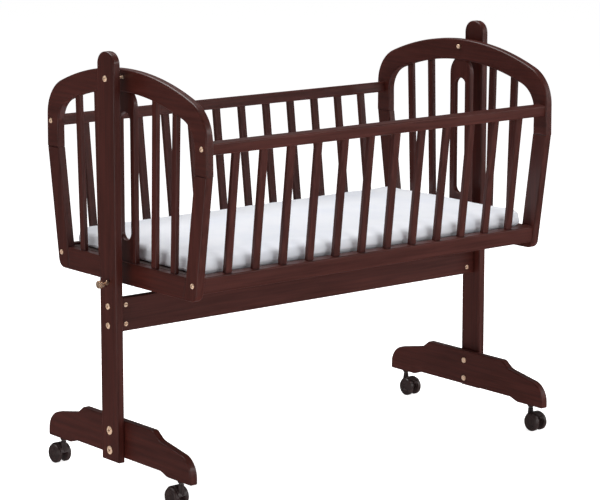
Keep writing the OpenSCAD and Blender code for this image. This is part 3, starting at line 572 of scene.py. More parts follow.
class Shader:
    """A material under construction round one Principled shader."""

    def __init__(self, name: str, color: Color, roughness: float, metallic: float = 0.0) -> None:
        """Makes a material with one even finish.

        Args:
            name: The material's name.
            color: The base colour, linear.
            roughness: The roughness.
            metallic: 1 for bare metal.
        """
        self.material = bpy.data.materials.new(name)
        self.material.use_nodes = True
        self.nodes = self.material.node_tree.nodes
        self.links = self.material.node_tree.links
        self.shader = self.nodes["Principled BSDF"]
        self.set("Base Color", (*color, 1.0))
        self.set("Roughness", roughness)
        self.set("Metallic", metallic)
        self.place = self.nodes.new("ShaderNodeTexCoord").outputs["Object"]

    def set(self, label: str, value: object) -> None:
        """Sets one socket of the shader."""
        self.shader.inputs[label].default_value = value

    def feed(self, label: str, socket: bpy.types.NodeSocket) -> None:
        """Links one socket of the shader."""
        self.links.new(socket, self.shader.inputs[label])

    def stretched(self, scale: tuple[float, float, float]) -> bpy.types.NodeSocket:
        """Gives the piece's own coordinates with each axis scaled.

        Args:
            scale: The factor on each axis.

        Returns:
            The coordinates.
        """
        mapping = self.nodes.new("ShaderNodeMapping")
        mapping.inputs["Scale"].default_value = scale
        self.links.new(self.place, mapping.inputs["Vector"])
        return mapping.outputs["Vector"]

    def noise(self, vector: bpy.types.NodeSocket, scale: float, detail: float = 3.0,
              distortion: float = 0.0) -> bpy.types.NodeSocket:
        """Adds a noise texture.

        Args:
            vector: Where the noise is read.
            scale: Its scale.
            detail: Its detail.
            distortion: Its distortion.

        Returns:
            The noise's value, about 0.3 to 0.7.
        """
        made = self.nodes.new("ShaderNodeTexNoise")
        made.inputs["Scale"].default_value = scale
        made.inputs["Detail"].default_value = detail
        made.inputs["Distortion"].default_value = distortion
        self.links.new(vector, made.inputs["Vector"])
        return made.outputs["Fac"]

    def ranged(self, value: bpy.types.NodeSocket, low: float, high: float, start: float = 0.3,
               end: float = 0.7) -> bpy.types.NodeSocket:
        """Maps a value from start..end to low..high.

        Args:
            value: The value.
            low: What start becomes.
            high: What end becomes.
            start: The value that becomes low.
            end: The value that becomes high.

        Returns:
            The mapped value.
        """
        made = self.nodes.new("ShaderNodeMapRange")
        made.inputs["From Min"].default_value = start
        made.inputs["From Max"].default_value = end
        made.inputs["To Min"].default_value = low
        made.inputs["To Max"].default_value = high
        self.links.new(value, made.inputs["Value"])
        return made.outputs["Result"]

    def tones(self, value: bpy.types.NodeSocket,
              stops: Sequence[tuple[float, Color]]) -> bpy.types.NodeSocket:
        """Turns a value into a colour between stops.

        Args:
            value: A value from 0 to 1.
            stops: Positions and their colours, in order.

        Returns:
            The colour.
        """
        ramp = self.nodes.new("ShaderNodeValToRGB")
        elements = ramp.color_ramp.elements
        while len(elements) < len(stops):
            elements.new(0.5)
        for element, (position, color) in zip(elements, stops):
            element.position = position
            element.color = (*color, 1.0)
        self.links.new(value, ramp.inputs["Fac"])
        return ramp.outputs["Color"]

    def tinted(self, color: bpy.types.NodeSocket, tint: bpy.types.NodeSocket) -> bpy.types.NodeSocket:
        """Multiplies a colour by a tint.

        Args:
            color: The colour.
            tint: What it is multiplied by.

        Returns:
            The tinted colour.
        """
        made = self.nodes.new("ShaderNodeMix")
        made.data_type = "RGBA"
        made.blend_type = "MULTIPLY"
        made.inputs[0].default_value = 1.0
        self.links.new(color, made.inputs[6])
        self.links.new(tint, made.inputs[7])
        return made.outputs[2]

    def bump(self, height: bpy.types.NodeSocket, strength: float, distance: float) -> None:
        """Adds a bump to the shader, on top of one that is there.

        Args:
            height: The height.
            strength: The share of the bump that is kept.
            distance: The height's size in metres.
        """
        made = self.nodes.new("ShaderNodeBump")
        made.inputs["Strength"].default_value = strength
        made.inputs["Distance"].default_value = distance
        if self.shader.inputs["Normal"].links:
            self.links.new(self.shader.inputs["Normal"].links[0].from_socket, made.inputs["Normal"])
        self.links.new(height, made.inputs["Height"])
        self.feed("Normal", made.outputs["Normal"])


@dataclass(frozen=True)
class EspressoLacquer:
    """A dark red-brown stain under satin lacquer, with the grain just showing."""

    dark: Color = (0.050, 0.0099, 0.0069)
    middle: Color = (0.060, 0.0120, 0.0084)
    light: Color = (0.070, 0.0142, 0.0099)
    streaks_per_metre: float = 210.0
    figure_per_metre: float = 26.0
    boards_per_metre: float = 2.2
    dents_per_metre: float = 60.0
    along: float = 0.035
    fine_tints: tuple[Color, Color] = ((0.66, 0.62, 0.60), (1.18, 1.16, 1.14))
    wide_tints: tuple[Color, Color] = ((0.90, 0.90, 0.90), (1.12, 1.08, 1.06))
    roughness: float = 0.40
    specular: float = 0.25
    coat: float = 0.20
    coat_roughness: float = 0.14

    def material(self, grain: Grain) -> bpy.types.Material:
        """Builds the finish for one direction of grain.

        Args:
            grain: The grain's axis.

        Returns:
            The material.
        """
        made = Shader(f"espresso_{grain.value}", self.middle, self.roughness)
        across = [1.0, 1.0, 1.0]
        across["xyz".index(grain.value)] = self.along
        along = tuple(across)
        figure = made.noise(made.stretched(along), self.figure_per_metre, detail=5.0, distortion=1.2)
        streaks = made.noise(made.stretched(along), self.streaks_per_metre, detail=4.0, distortion=0.4)
        boards = made.noise(made.stretched(EVENLY), self.boards_per_metre, detail=1.0)
        dents = made.noise(made.stretched(EVENLY), self.dents_per_metre, detail=2.0)
        stops = [(0.0, self.dark), (0.45, self.middle), (1.0, self.light)]
        base = made.tones(made.ranged(figure, 0, 1), stops)
        fine = made.tones(made.ranged(streaks, 0, 1), list(zip((0.0, 1.0), self.fine_tints)))
        wide = made.tones(made.ranged(boards, 0, 1), list(zip((0.0, 1.0), self.wide_tints)))
        made.feed("Base Color", made.tinted(made.tinted(base, fine), wide))
        made.feed("Roughness", made.ranged(streaks, self.roughness - 0.05, self.roughness + 0.08))
        made.set("Specular IOR Level", self.specular)
        made.set("Coat Weight", self.coat)
        made.set("Coat Roughness", self.coat_roughness)
        made.bump(streaks, strength=0.10, distance=0.4 * MM)
        made.bump(dents, strength=0.04, distance=0.6 * MM)
        return made.material


@dataclass(frozen=True)
class BrassPlate:
    """Pale brass plating with fine turning marks and a little wear."""

    name: str = "brass_plate"
    worn: Color = (0.64, 0.33, 0.20)
    color: Color = (1.0, 0.67, 0.45)
    bright: Color = (1.0, 0.90, 0.75)
    metallic: float = 0.36
    roughness: float = 0.24
    wear_per_metre: float = 700.0

    def material(self) -> bpy.types.Material:
        """Builds the finish.

        Returns:
            The material.
        """
        made = Shader(self.name, self.color, self.roughness, self.metallic)
        wear = made.noise(made.stretched(EVENLY), self.wear_per_metre)
        stops = [(0.0, self.worn), (0.5, self.color), (1.0, self.bright)]
        made.feed("Base Color", made.tones(made.ranged(wear, 0, 1), stops))
        made.feed("Roughness", made.ranged(wear, self.roughness - 0.08, self.roughness + 0.14))
        made.bump(wear, strength=0.08, distance=0.1 * MM)
        return made.material


@dataclass(frozen=True)
class NickelPlate:
    """Bright nickel plating, or with another name and colour blackened steel."""

    name: str = "nickel_plate"
    color: Color = (0.78, 0.77, 0.74)
    metallic: float = 0.75
    roughness: float = 0.32
    marks_per_metre: float = 160.0
    marks_stretch: tuple[float, float, float] = (1, 1, 60)

    def material(self) -> bpy.types.Material:
        """Builds the finish.

        Returns:
            The material.
        """
        made = Shader(self.name, self.color, self.roughness, self.metallic)
        turning = made.noise(made.stretched(self.marks_stretch), self.marks_per_metre, detail=2.0)
        made.feed("Roughness", made.ranged(turning, self.roughness - 0.05, self.roughness + 0.12))
        made.bump(turning, strength=0.06, distance=0.08 * MM)
        return made.material


@dataclass(frozen=True)
class MouldedPlastic:
    """Dark brown moulded plastic with a fine texture from its mould."""

    name: str = "caster_plastic"
    dark: Color = (0.018, 0.0095, 0.0090)
    light: Color = (0.036, 0.0190, 0.0180)
    roughness: float = 0.40
    clouds_per_metre: float = 70.0
    grit_per_metre: float = 1800.0

    def material(self) -> bpy.types.Material:
        """Builds the finish.

        Returns:
            The material.
        """
        made = Shader(self.name, self.dark, self.roughness)
        cloud = made.noise(made.stretched(EVENLY), self.clouds_per_metre)
        grit = made.noise(made.stretched(EVENLY), self.grit_per_metre, detail=2.0)
        made.feed("Base Color", made.tones(made.ranged(cloud, 0, 1), [(0.0, self.dark), (1.0, self.light)]))
        made.feed("Roughness", made.ranged(cloud, self.roughness - 0.06, self.roughness + 0.10))
        made.bump(grit, strength=0.12, distance=0.15 * MM)
        return made.material


@dataclass(frozen=True)
class WovenCover:
    """A white woven mattress cover with a faint weave and soft creases."""

    white: Color = (0.86, 0.88, 0.93)
    shade: Color = (0.80, 0.83, 0.90)
    clouds_per_metre: float = 9.0
    threads_per_metre: float = 1500.0
    thread_stretch: float = 0.02
    waves_per_metre: float = 34.0
    bump_share: float = 0.10
    roughness: float = 0.85
    sheen: float = 0.25
    sheen_roughness: float = 0.5

    def material(self) -> bpy.types.Material:
        """Builds the finish.

        Returns:
            The material.
        """
        made = Shader("mattress_cover", self.white, self.roughness)
        cloud = made.noise(made.stretched(EVENLY), self.clouds_per_metre)
        made.feed("Base Color", made.tones(made.ranged(cloud, 0, 1), [(0.0, self.shade), (0.6, self.white)]))
        made.set("Sheen Weight", self.sheen)
        made.set("Sheen Roughness", self.sheen_roughness)
        for axis in (0, 1):
            scale = [self.thread_stretch] * 3
            scale[axis] = 1.0
            thread = made.noise(made.stretched(tuple(scale)), self.threads_per_metre, detail=1.0)
            made.bump(thread, self.bump_share, distance=0.2 * MM)
        waves = made.noise(made.stretched(EVENLY), self.waves_per_metre, distortion=0.6)
        made.bump(waves, self.bump_share, distance=3 * MM)
        return made.material


@dataclass(frozen=True)
class PlainBoard:
    """Unpainted wood fibre board or bare wood."""

    name: str
    dark: Color
    light: Color
    stretch: tuple[float, float, float] = EVENLY
    roughness: float = 0.7
    fibres_per_metre: float = 420.0

    def material(self) -> bpy.types.Material:
        """Builds the finish.

        Returns:
            The material.
        """
        made = Shader(self.name, self.dark, self.roughness)
        fibre = made.noise(made.stretched(self.stretch), self.fibres_per_metre, detail=4.0, distortion=0.5)
        made.feed("Base Color", made.tones(made.ranged(fibre, 0, 1), [(0.0, self.dark), (1.0, self.light)]))
        made.bump(fibre, strength=0.2, distance=0.4 * MM)
        return made.material


class Finishes:
    """All finishes of the cradle, each built once."""

    def __init__(self) -> None:
        """Builds every material."""
        lacquer = EspressoLacquer()
        self.wood = {grain: lacquer.material(grain) for grain in Grain}
        self.brass = BrassPlate().material()
        self.polished = BrassPlate("polished_brass", metallic=0.85, roughness=0.16).material()
        self.nickel = NickelPlate().material()
        self.steel = NickelPlate("stem_steel", (0.20, 0.17, 0.16)).material()
        self.plastic = MouldedPlastic().material()
        self.tread = MouldedPlastic("wheel_plastic", (0.021, 0.0110, 0.0105), (0.043, 0.0230, 0.0215),
                                    0.38).material()
        self.cover = WovenCover().material()
        self.hardboard = PlainBoard("stained_hardboard", (0.026, 0.009, 0.007),
                                    (0.050, 0.018, 0.013)).material()
        self.beech = PlainBoard("bare_beech", (0.50, 0.33, 0.18), (0.66, 0.47, 0.28),
                                (1.0, 1.0, 0.05)).material()


class Slot(Enum):
    """The record's material slots. Each new piece is passed one, but takes its finish from its own material.
    """

    WOOD = "espresso_wood"
    BRASS = "brass"
    PLASTIC = "caster_plastic"
    COVER = "mattress_cover"


def placed(piece: bpy.types.Object, body: str, slot: Slot, *nodes: str) -> bpy.types.Object:
    """Sets a finished piece on its body, in place of the solids that it stands for.

    Args:
        piece: The finished piece.
        body: The body that it moves with.
        slot: The record's material slot for the piece. Not used.
        nodes: The solids that it replaces.

    Returns:
        The piece.
    """
    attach(piece, body)
    if nodes:
        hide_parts(*nodes)
    LOG.info("%s rides on %s, %d faces", piece.name, body, len(piece.data.polygons))
    return piece


def dress(node: str, material: bpy.types.Material) -> None:
    """Gives a solid that stays its finish.

    Args:
        node: The solid.
        material: Its finish.
    """
    solid = frame["nodes"][node]
    solid.data.materials.clear()
    solid.data.materials.append(material)
    LOG.info("%s keeps its solid", node)


def joint_place(name: str) -> Vector:
    """Gives the place of a joint."""
    return Vector(next(joint for joint in frame["joints"] if joint["name"] == name)["pos_m"])


ENDS = (("left", -1), ("right", 1))
SIDES = (("front", -1), ("back", 1))
# ACROSS mirrors front to back, and TO_X turns what is drawn along w to +X.
ACROSS = Matrix.Scale(-1, 4, Vector((0, 1, 0)))
TO_X = Matrix.Rotation(math.pi / 2, 4, "Y")


@dataclass(frozen=True)
class Slat:
    """The bar that every slat is cut from, and how many stand on each side of the cradle."""

    width: float = 18 * MM
    thickness: float = 10 * MM
    tenon: float = 8 * MM
    per_side: int = 12


# ---- the stand ---------------------------------------------------------------------------------


@dataclass
class Stand:
    """The two posts, their feet and the stretcher."""

    finishes: Finishes
    post_ease: float = 3.5 * MM
    post_corner_r: float = 27 * MM
    post_steps: int = 14
    foot_ease: float = 3.0 * MM
    foot_steps: int = 8
    flat_half: float = 127 * MM
    flat_r: float = 8 * MM
    slope_run: float = 22.5 * MM
    slope_drop: float = 16.5 * MM
    hollow_r: float = 34 * MM
    nose_drop: float = 30 * MM
    nose_back: float = 41.28 * MM
    nose_lip: float = 4 * MM
    nose_r: float = 44.64 * MM
    heel_r: float = 3.5 * MM
    pad_r: float = 26 * MM
    pad_start: float = 178 * MM
    pad_slope: float = 22 * MM
    pad_drop: float = 8 * MM
    stretcher_ease: float = 2.0 * MM
    saw_ease: float = 0.2 * MM
    slot_ease: float = 0.0001 * MM
    lock_post: str = "left_post"
    slot_depth: float = 12 * MM
    slot_clear: float = 0.4 * MM

    def post(self, name: str) -> None:
        """Builds a post with a rounded top.

        Args:
            name: The post that it stands for.
        """
        low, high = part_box(name)
        half = high.y
        outline = rounded([(-half, low.z), (half, low.z), (half, high.z), (-half, high.z)],
                          [0, 0, self.post_corner_r, self.post_corner_r], self.post_steps)
        shape = Shape().add(eased_slab(outline, (low.x, high.x), self.post_ease, steps=5), Plane.YZ.matrix())
        board = shape.finish(f"{name}_board", self.finishes.wood[Grain.ALONG_Z])
        if name == self.lock_post:
            self.cut_crossbar_slot(board)
        placed(board, "stand", Slot.WOOD, name)

    def cut_crossbar_slot(self, board: bpy.types.Object) -> None:
        """Cuts the slanting slot that the lock's crossbar slides into.

        Args:
            board: The post, whose outer face gets the slot.
        """
        low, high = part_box("lock_crossbar")
        wide = high.x - low.x + 2 * self.slot_clear
        long = (high.z - low.z) * math.sqrt(2) - (high.x - low.x) + 2 * self.slot_clear
        outline = [(-wide / 2, -long / 2), (wide / 2, -long / 2), (wide / 2, long / 2), (-wide / 2, long / 2)]
        middle = (low + high) / 2
        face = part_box(self.lock_post)[0].x
        place = Matrix.Translation((face, middle.y, middle.z)) @ Matrix.Rotation(math.pi / 4, 4, "X")
        slab = eased_slab(outline, (-self.slot_depth, self.slot_depth), self.slot_ease, steps=1)
        cutter = Shape().add(slab, place @ Plane.YZ.matrix()).finish("slot_cutter", board.data.materials[0])
        cut = board.modifiers.new("slot", "BOOLEAN")
        cut.operation = "DIFFERENCE"
        cut.solver = "EXACT"
        cut.object = cutter
        sharpened(applied(board), SHARP_DEG)
        bpy.data.objects.remove(cutter)

    def foot_outline(self, low: Vector, high: Vector) -> list[Point]:
        """Gives a foot's outline: a flat top, a hollow, a slope, a nose and a pad at each end.

        Args:
            low: The foot's lowest corner.
            high: Its highest corner.

        Returns:
            The outline, turning left.
        """
        half = high.y
        under = low.z + self.pad_drop
        nose_z = high.z - self.nose_drop
        corners = [(self.pad_start - self.pad_slope, under), (self.pad_start, low.z), (half, low.z),
                   (half, nose_z - self.nose_lip), (half - self.nose_back, nose_z),
                   (self.flat_half + self.slope_run, high.z - self.slope_drop), (self.flat_half, high.z)]
        radii = [self.pad_r, self.pad_r, self.heel_r, self.nose_r, 0, self.hollow_r, self.flat_r]
        right = rounded([(0, under), *corners, (0, high.z)], [0, *radii, 0], self.foot_steps)[1:-1]
        return right + mirrored(right)

    def foot(self, name: str) -> None:
        """Builds a foot.

        Args:
            name: The foot that it stands for.
        """
        low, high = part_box(name)
        outline = self.foot_outline(low, high)
        shape = Shape().add(eased_slab(outline, (low.x, high.x), self.foot_ease), Plane.YZ.matrix())
        placed(shape.finish(f"{name}_board", self.finishes.wood[Grain.ALONG_Y]), "stand", Slot.WOOD, name)

    def stretcher(self) -> None:
        """Builds the stretcher, its long edges rounded over and its ends square."""
        low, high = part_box("stretcher")
        section = rounded([(low.y, low.z), (high.y, low.z), (high.y, high.z), (low.y, high.z)],
                          [self.stretcher_ease] * 4, 4)
        shape = Shape().add(eased_slab(section, (low.x, high.x), self.saw_ease, steps=1), Plane.YZ.matrix())
        placed(shape.finish("stretcher_board", self.finishes.wood[Grain.ALONG_X]), "stand", Slot.WOOD,
               "stretcher")

    def build(self) -> None:
        """Builds every piece of the stand's wood."""
        for end, _ in ENDS:
            self.post(f"{end}_post")
            self.foot(f"{end}_foot")
        self.stretcher()


# ---- fasteners ---------------------------------------------------------------------------------


@dataclass(frozen=True)
class Bolt:
    """The sizes of one kind of bolt or screw, whose domed head has a hexagon socket."""

    head_r: float
    socket_r: float
    shank_r: float
    length: float
    head_h: float = 2.6 * MM


@dataclass(frozen=True)
class Nut:
    """The sizes of one kind of nut: no bore makes a cap, and 6 sides make a hexagon."""

    radius: float
    length: float
    bore_r: float = 0.0
    sides: int = 36


@dataclass
class Fasteners:
    """The brass bolts, screws and nuts: one tree sets every kind but the barrel nuts on its places."""

    finishes: Finishes
    tree: bpy.types.NodeTree
    rail_mid_y: float
    stretcher_bolt: Bolt = Bolt(6.5 * MM, 2.6 * MM, 3 * MM, 82.6 * MM)
    foot_bolt: Bolt = Bolt(9 * MM, 3.3 * MM, 3.6 * MM, 30 * MM)
    pivot_bolt: Bolt = Bolt(6.5 * MM, 2.6 * MM, 3 * MM, 66 * MM, 3 * MM)
    rail_screw: Bolt = Bolt(5.5 * MM, 2.2 * MM, 2.5 * MM, 52 * MM)
    foot_nut: Nut = Nut(6.5 * MM, 2.6 * MM)
    pivot_nut: Nut = Nut(5.5 * MM, 7 * MM, 3.05 * MM, 6)
    pivot_cap: Nut = Nut(4.75 * MM, 4 * MM)
    rim_share: float = 0.42
    socket_floor: float = 3.0 * MM
    socket_draft: float = 0.97
    socket_lip: float = 0.35 * MM
    lip_share: float = 0.93
    seat_edge: float = 0.2 * MM
    edge: float = 0.6 * MM
    around: int = 36
    head_sharp_deg: float = 35
    nut_sharp_deg: float = 30
    barrel_r: float = 5 * MM
    barrel_sunk: float = 2 * MM
    barrel_proud: float = 0.5 * MM
    barrel_ease: float = 0.3 * MM
    barrel_slot: float = 1.4 * MM

    def lone(self, name: str, shell: tuple[list[Vector], Faces], sharp_deg: float) -> bpy.types.Object:
        """Builds a fastener along +X and takes it out of the scene, for the tree to copy.

        Args:
            name: The piece's name.
            shell: Its vertices and faces, along w.
            sharp_deg: Edges that bend by more than this stay sharp.

        Returns:
            The object.
        """
        piece = Shape().add(shell, TO_X).finish(name, self.finishes.brass, sharp_deg)
        bpy.context.scene.collection.objects.unlink(piece)
        return piece

    def headed(self, name: str, bolt: Bolt) -> bpy.types.Object:
        """Builds one bolt or screw, its head towards -X with its seat at the origin.

        Args:
            name: The piece's name.
            bolt: Its sizes.

        Returns:
            The object, for the tree to copy.
        """
        rim = bolt.head_h * self.rim_share
        dome = [(bolt.head_r * c, -rim - (bolt.head_h - rim) * s) for c, s in arc((0, 0), 1, 0, 60, 5)]
        socket = [(0, self.socket_floor), (bolt.socket_r * self.socket_draft, self.socket_floor),
                  (bolt.socket_r, -bolt.head_h * self.lip_share)]
        head = [(bolt.socket_r + self.socket_lip, -bolt.head_h),
                *[p for p in reversed(dome) if p[0] > bolt.socket_r + self.edge],
                (bolt.head_r, -self.seat_edge), (bolt.head_r - self.seat_edge, 0)]
        shank = [(bolt.shank_r, 0), (bolt.shank_r, bolt.length - self.edge),
                 (bolt.shank_r - self.edge, bolt.length), (0, bolt.length)]

        def hexagon(angle: float, number: int) -> float:
            """Draws the socket's points in to a hexagon.

            Args:
                angle: The angle round the axis.
                number: The profile point's number.

            Returns:
                The factor on the radius.
            """
            if number >= len(socket):
                return 1.0
            part = (angle + math.pi / 6) % (math.pi / 3) - math.pi / 6
            return math.cos(math.pi / 6) / math.cos(part)

        return self.lone(name, turned(socket + head + shank, self.around, hexagon), self.head_sharp_deg)

    def nut(self, name: str, sizes: Nut) -> bpy.types.Object:
        """Builds one nut or cap, from the origin along +X, with its edges broken.

        Args:
            name: The piece's name.
            sizes: Its sizes.

        Returns:
            The object, for the tree to copy.
        """
        outer = [(sizes.radius - self.edge, 0), (sizes.radius, self.edge),
                 (sizes.radius, sizes.length - self.edge), (sizes.radius - self.edge, sizes.length)]
        profile = [(sizes.bore_r, 0), *outer, (sizes.bore_r, sizes.length)]
        shell = turned_ring(profile, sizes.sides) if sizes.bore_r else turned(profile, sizes.sides)
        return self.lone(name, shell, self.nut_sharp_deg)

    def barrel_nuts(self) -> None:
        """Builds the slotted ends of the barrel nuts, just proud of the stretcher."""
        low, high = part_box("barrel_nuts")
        r = self.barrel_r
        edge = math.degrees(math.asin(self.barrel_slot / 2 / r))
        half = eased_slab(arc((0, 0), r, edge, 180 - edge, 20), (-self.barrel_sunk, self.barrel_proud),
                          self.barrel_ease, steps=3)
        shape = Shape()
        for x in (low.x + r, high.x - r):
            for z in (low.z + r, high.z - r):
                for way in (0.0, math.pi):
                    turn = Matrix.Rotation(way, 4, "Z")
                    shape.add(half, Matrix.Translation((x, low.y, z)) @ Plane.XZ.matrix() @ turn)
        ends = shape.finish("barrel_nut_ends", self.finishes.brass, self.head_sharp_deg)
        placed(ends, "stand", Slot.BRASS, "barrel_nuts")

    def spread(self, node: str, name: str, source: bpy.types.Object, places: Sequence[Point], x: float,
               body: str = "stand") -> None:
        """Sets copies of a fastener on the left end and mirrored on the right end.

        Args:
            node: The solid that the new piece replaces.
            name: The new piece's name.
            source: The fastener, drawn for the left end.
            places: Its places (y, z).
            x: Where its seat is on the left end.
            body: The body that it rides on.
        """
        parts = []
        for end, side in ENDS:
            values = {"Piece": source, "Finish": self.finishes.brass, "Size": Vector((1, 1, 1)),
                      "Turn": Vector((0, 0, 0 if side < 0 else math.pi))}
            at = [Vector((x * -side, y, z)) for y, z in places]
            parts.append(grown(f"{name}_{end}", self.tree, values, at))
        placed(joined(name, parts), body, Slot.BRASS, node)

    @staticmethod
    def pair(node: str, radius: float) -> list[Point]:
        """Gives the places of the lower and upper fastener on a post, from their heads' radius."""
        low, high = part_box(node)
        return [(0.0, low.z + radius), (0.0, high.z - radius)]

    def build(self) -> None:
        """Builds every kind of fastener and sets it on its places."""
        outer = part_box("left_post")[0].x
        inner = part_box("left_post")[1].x
        pivot = [(0.0, joint_place("cradle_swing").z)]
        low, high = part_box("rail_screws")
        half = self.rail_screw.head_r
        levels = ((high.y - half, high.z - half), (self.rail_mid_y, low.z + half))
        rail_ends = [(side * y, z) for y, z in levels for _, side in SIDES]
        on_foot = self.pair("foot_bolts", self.foot_bolt.head_r)
        on_stretcher = self.pair("stretcher_bolts", self.stretcher_bolt.head_r)
        self.spread("stretcher_bolts", "stretcher_bolt_set",
                    self.headed("stretcher_bolt", self.stretcher_bolt), on_stretcher, outer)
        self.spread("foot_bolts", "foot_bolt_set", self.headed("foot_bolt", self.foot_bolt), on_foot, outer)
        self.spread("foot_nuts", "foot_nut_set", self.nut("foot_nut", self.foot_nut), on_foot,
                    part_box("left_foot")[1].x)
        self.spread("pivot_bolts", "pivot_bolt_set", self.headed("pivot_bolt", self.pivot_bolt), pivot, outer)
        self.spread("pivot_nuts", "pivot_nut_set", self.nut("pivot_nut", self.pivot_nut), pivot, inner)
        self.spread("pivot_end_nuts", "pivot_cap_set", self.nut("pivot_cap", self.pivot_cap), pivot,
                    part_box("pivot_end_nuts")[0].x)
        self.spread("rail_screws", "rail_screw_set", self.headed("rail_screw", self.rail_screw), rail_ends,
                    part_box("left_arch")[0].x, "cradle")
        self.barrel_nuts()
        dress("pivot_bushes", self.finishes.brass)


# ---- the lock ----------------------------------------------------------------------------------


@dataclass
class Lock:
    """The lock pin on the left post, with its crossbar and knob.

    The points of nose and knob_rim are insets from the radius and depths from the end.
    """

    finishes: Finishes
    foot_edge: float = 0.5 * MM
    nose: tuple[Point, ...] = ((0, 3 * MM), (0.8 * MM, 1 * MM), (1.8 * MM, 0))
    knob_rim: tuple[Point, ...] = ((1.6 * MM, 0), (0.4 * MM, 0.5 * MM), (0, 1.4 * MM))
    dish_depth: float = 0.9 * MM
    dish_shares: tuple[float, float] = (0.45, 0.55)
    knurls: int = 24
    knurl_depth: float = 0.045
    tip_in: float = 0.45
    tip_len: float = 0.5
    tip_steps: int = 3
    pin_around: int = 40
    crossbar_around: int = 28
    faces_per_knurl: int = 6
    pin_sharp_deg: float = 35
    knob_sharp_deg: float = 50
    crossbar_sharp_deg: float = 40

    def put(self, node: str, name: str, shell: tuple[list[Vector], Faces], place: Matrix,
            sharp_deg: float) -> None:
        """Sets one turned piece of the lock on its place.

        Args:
            node: The solid that the new piece replaces.
            name: The new piece's name.
            shell: Its vertices and faces, along w.
            place: Where it goes.
            sharp_deg: Edges that bend by more than this stay sharp.
        """
        shape = Shape().add(shell, place)
        placed(shape.finish(name, self.finishes.polished, sharp_deg), "lock", Slot.BRASS, node)

    @staticmethod
    def along_x(node: str) -> tuple[float, float, Matrix]:
        """Gives the radius, the length and the place of a round piece on the pin's axis.

        Args:
            node: The solid that it stands for.

        Returns:
            The radius, the length and the place of its left end.
        """
        low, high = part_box(node)
        axis = sum(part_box("lock_pin"), Vector()) / 2
        place = Matrix.Translation((low.x, axis.y, axis.z)) @ TO_X
        return (high.y - low.y) / 2, high.x - low.x, place

    def pin(self) -> None:
        """Builds the pin, with its nose towards the cradle."""
        r, length, place = self.along_x("lock_pin")
        profile = [(0, 0), (r - self.foot_edge, 0), (r, self.foot_edge),
                   *[(r - inset, length - back) for inset, back in self.nose], (0, length)]
        self.put("lock_pin", "lock_pin_rod", turned(profile, self.pin_around), place, self.pin_sharp_deg)

    def knob(self) -> None:
        """Builds the knob, with a dished outer face and a knurled rim."""
        r, length, place = self.along_x("lock_knob")
        floor_r, mouth_r = (r * share for share in self.dish_shares)
        dish = [(0, self.dish_depth), (floor_r, self.dish_depth), (mouth_r, 0)]
        front = [(r - inset, depth) for inset, depth in self.knob_rim]
        back = [(r - inset, length - depth) for inset, depth in reversed(self.knob_rim)]
        last_front = len(dish) + len(front) - 1

        def knurl(angle: float, number: int) -> float:
            """Draws grooves into the knob's rim, between its front and its back.

            Args:
                angle: The angle round the axis.
                number: The profile point's number.

            Returns:
                The factor on the radius.
            """
            if number not in (last_front, last_front + 1):
                return 1.0
            return 1.0 - self.knurl_depth * (0.5 - 0.5 * math.cos(self.knurls * angle))

        shell = turned([*dish, *front, *back, (0, length)], self.knurls * self.faces_per_knurl, knurl)
        self.put("lock_knob", "lock_knob_knurled", shell, place, self.knob_sharp_deg)

    def crossbar(self) -> None:
        """Builds the slanting bar with its rounded tips."""
        low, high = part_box("lock_crossbar")
        r = (high.x - low.x) / 2
        half = (high.z - low.z) / 2 * math.sqrt(2) - r
        shares = [k / self.tip_steps for k in range(self.tip_steps + 1)]
        tip = [(0, -half), *[(r - r * self.tip_in * (1 - share) ** 2, r * self.tip_len * share - half)
                             for share in shares]]
        shell = turned([*tip, *[(x, -w) for x, w in reversed(tip)]], self.crossbar_around)
        place = Matrix.Translation((low + high) / 2) @ Matrix.Rotation(math.pi / 4, 4, "X")
        self.put("lock_crossbar", "lock_crossbar_rod", shell, place, self.crossbar_sharp_deg)

    def build(self) -> None:
        """Builds the pin, its knob and its crossbar."""
        self.pin()
        self.knob()
        self.crossbar()


# ---- the cradle's ends -------------------------------------------------------------------------


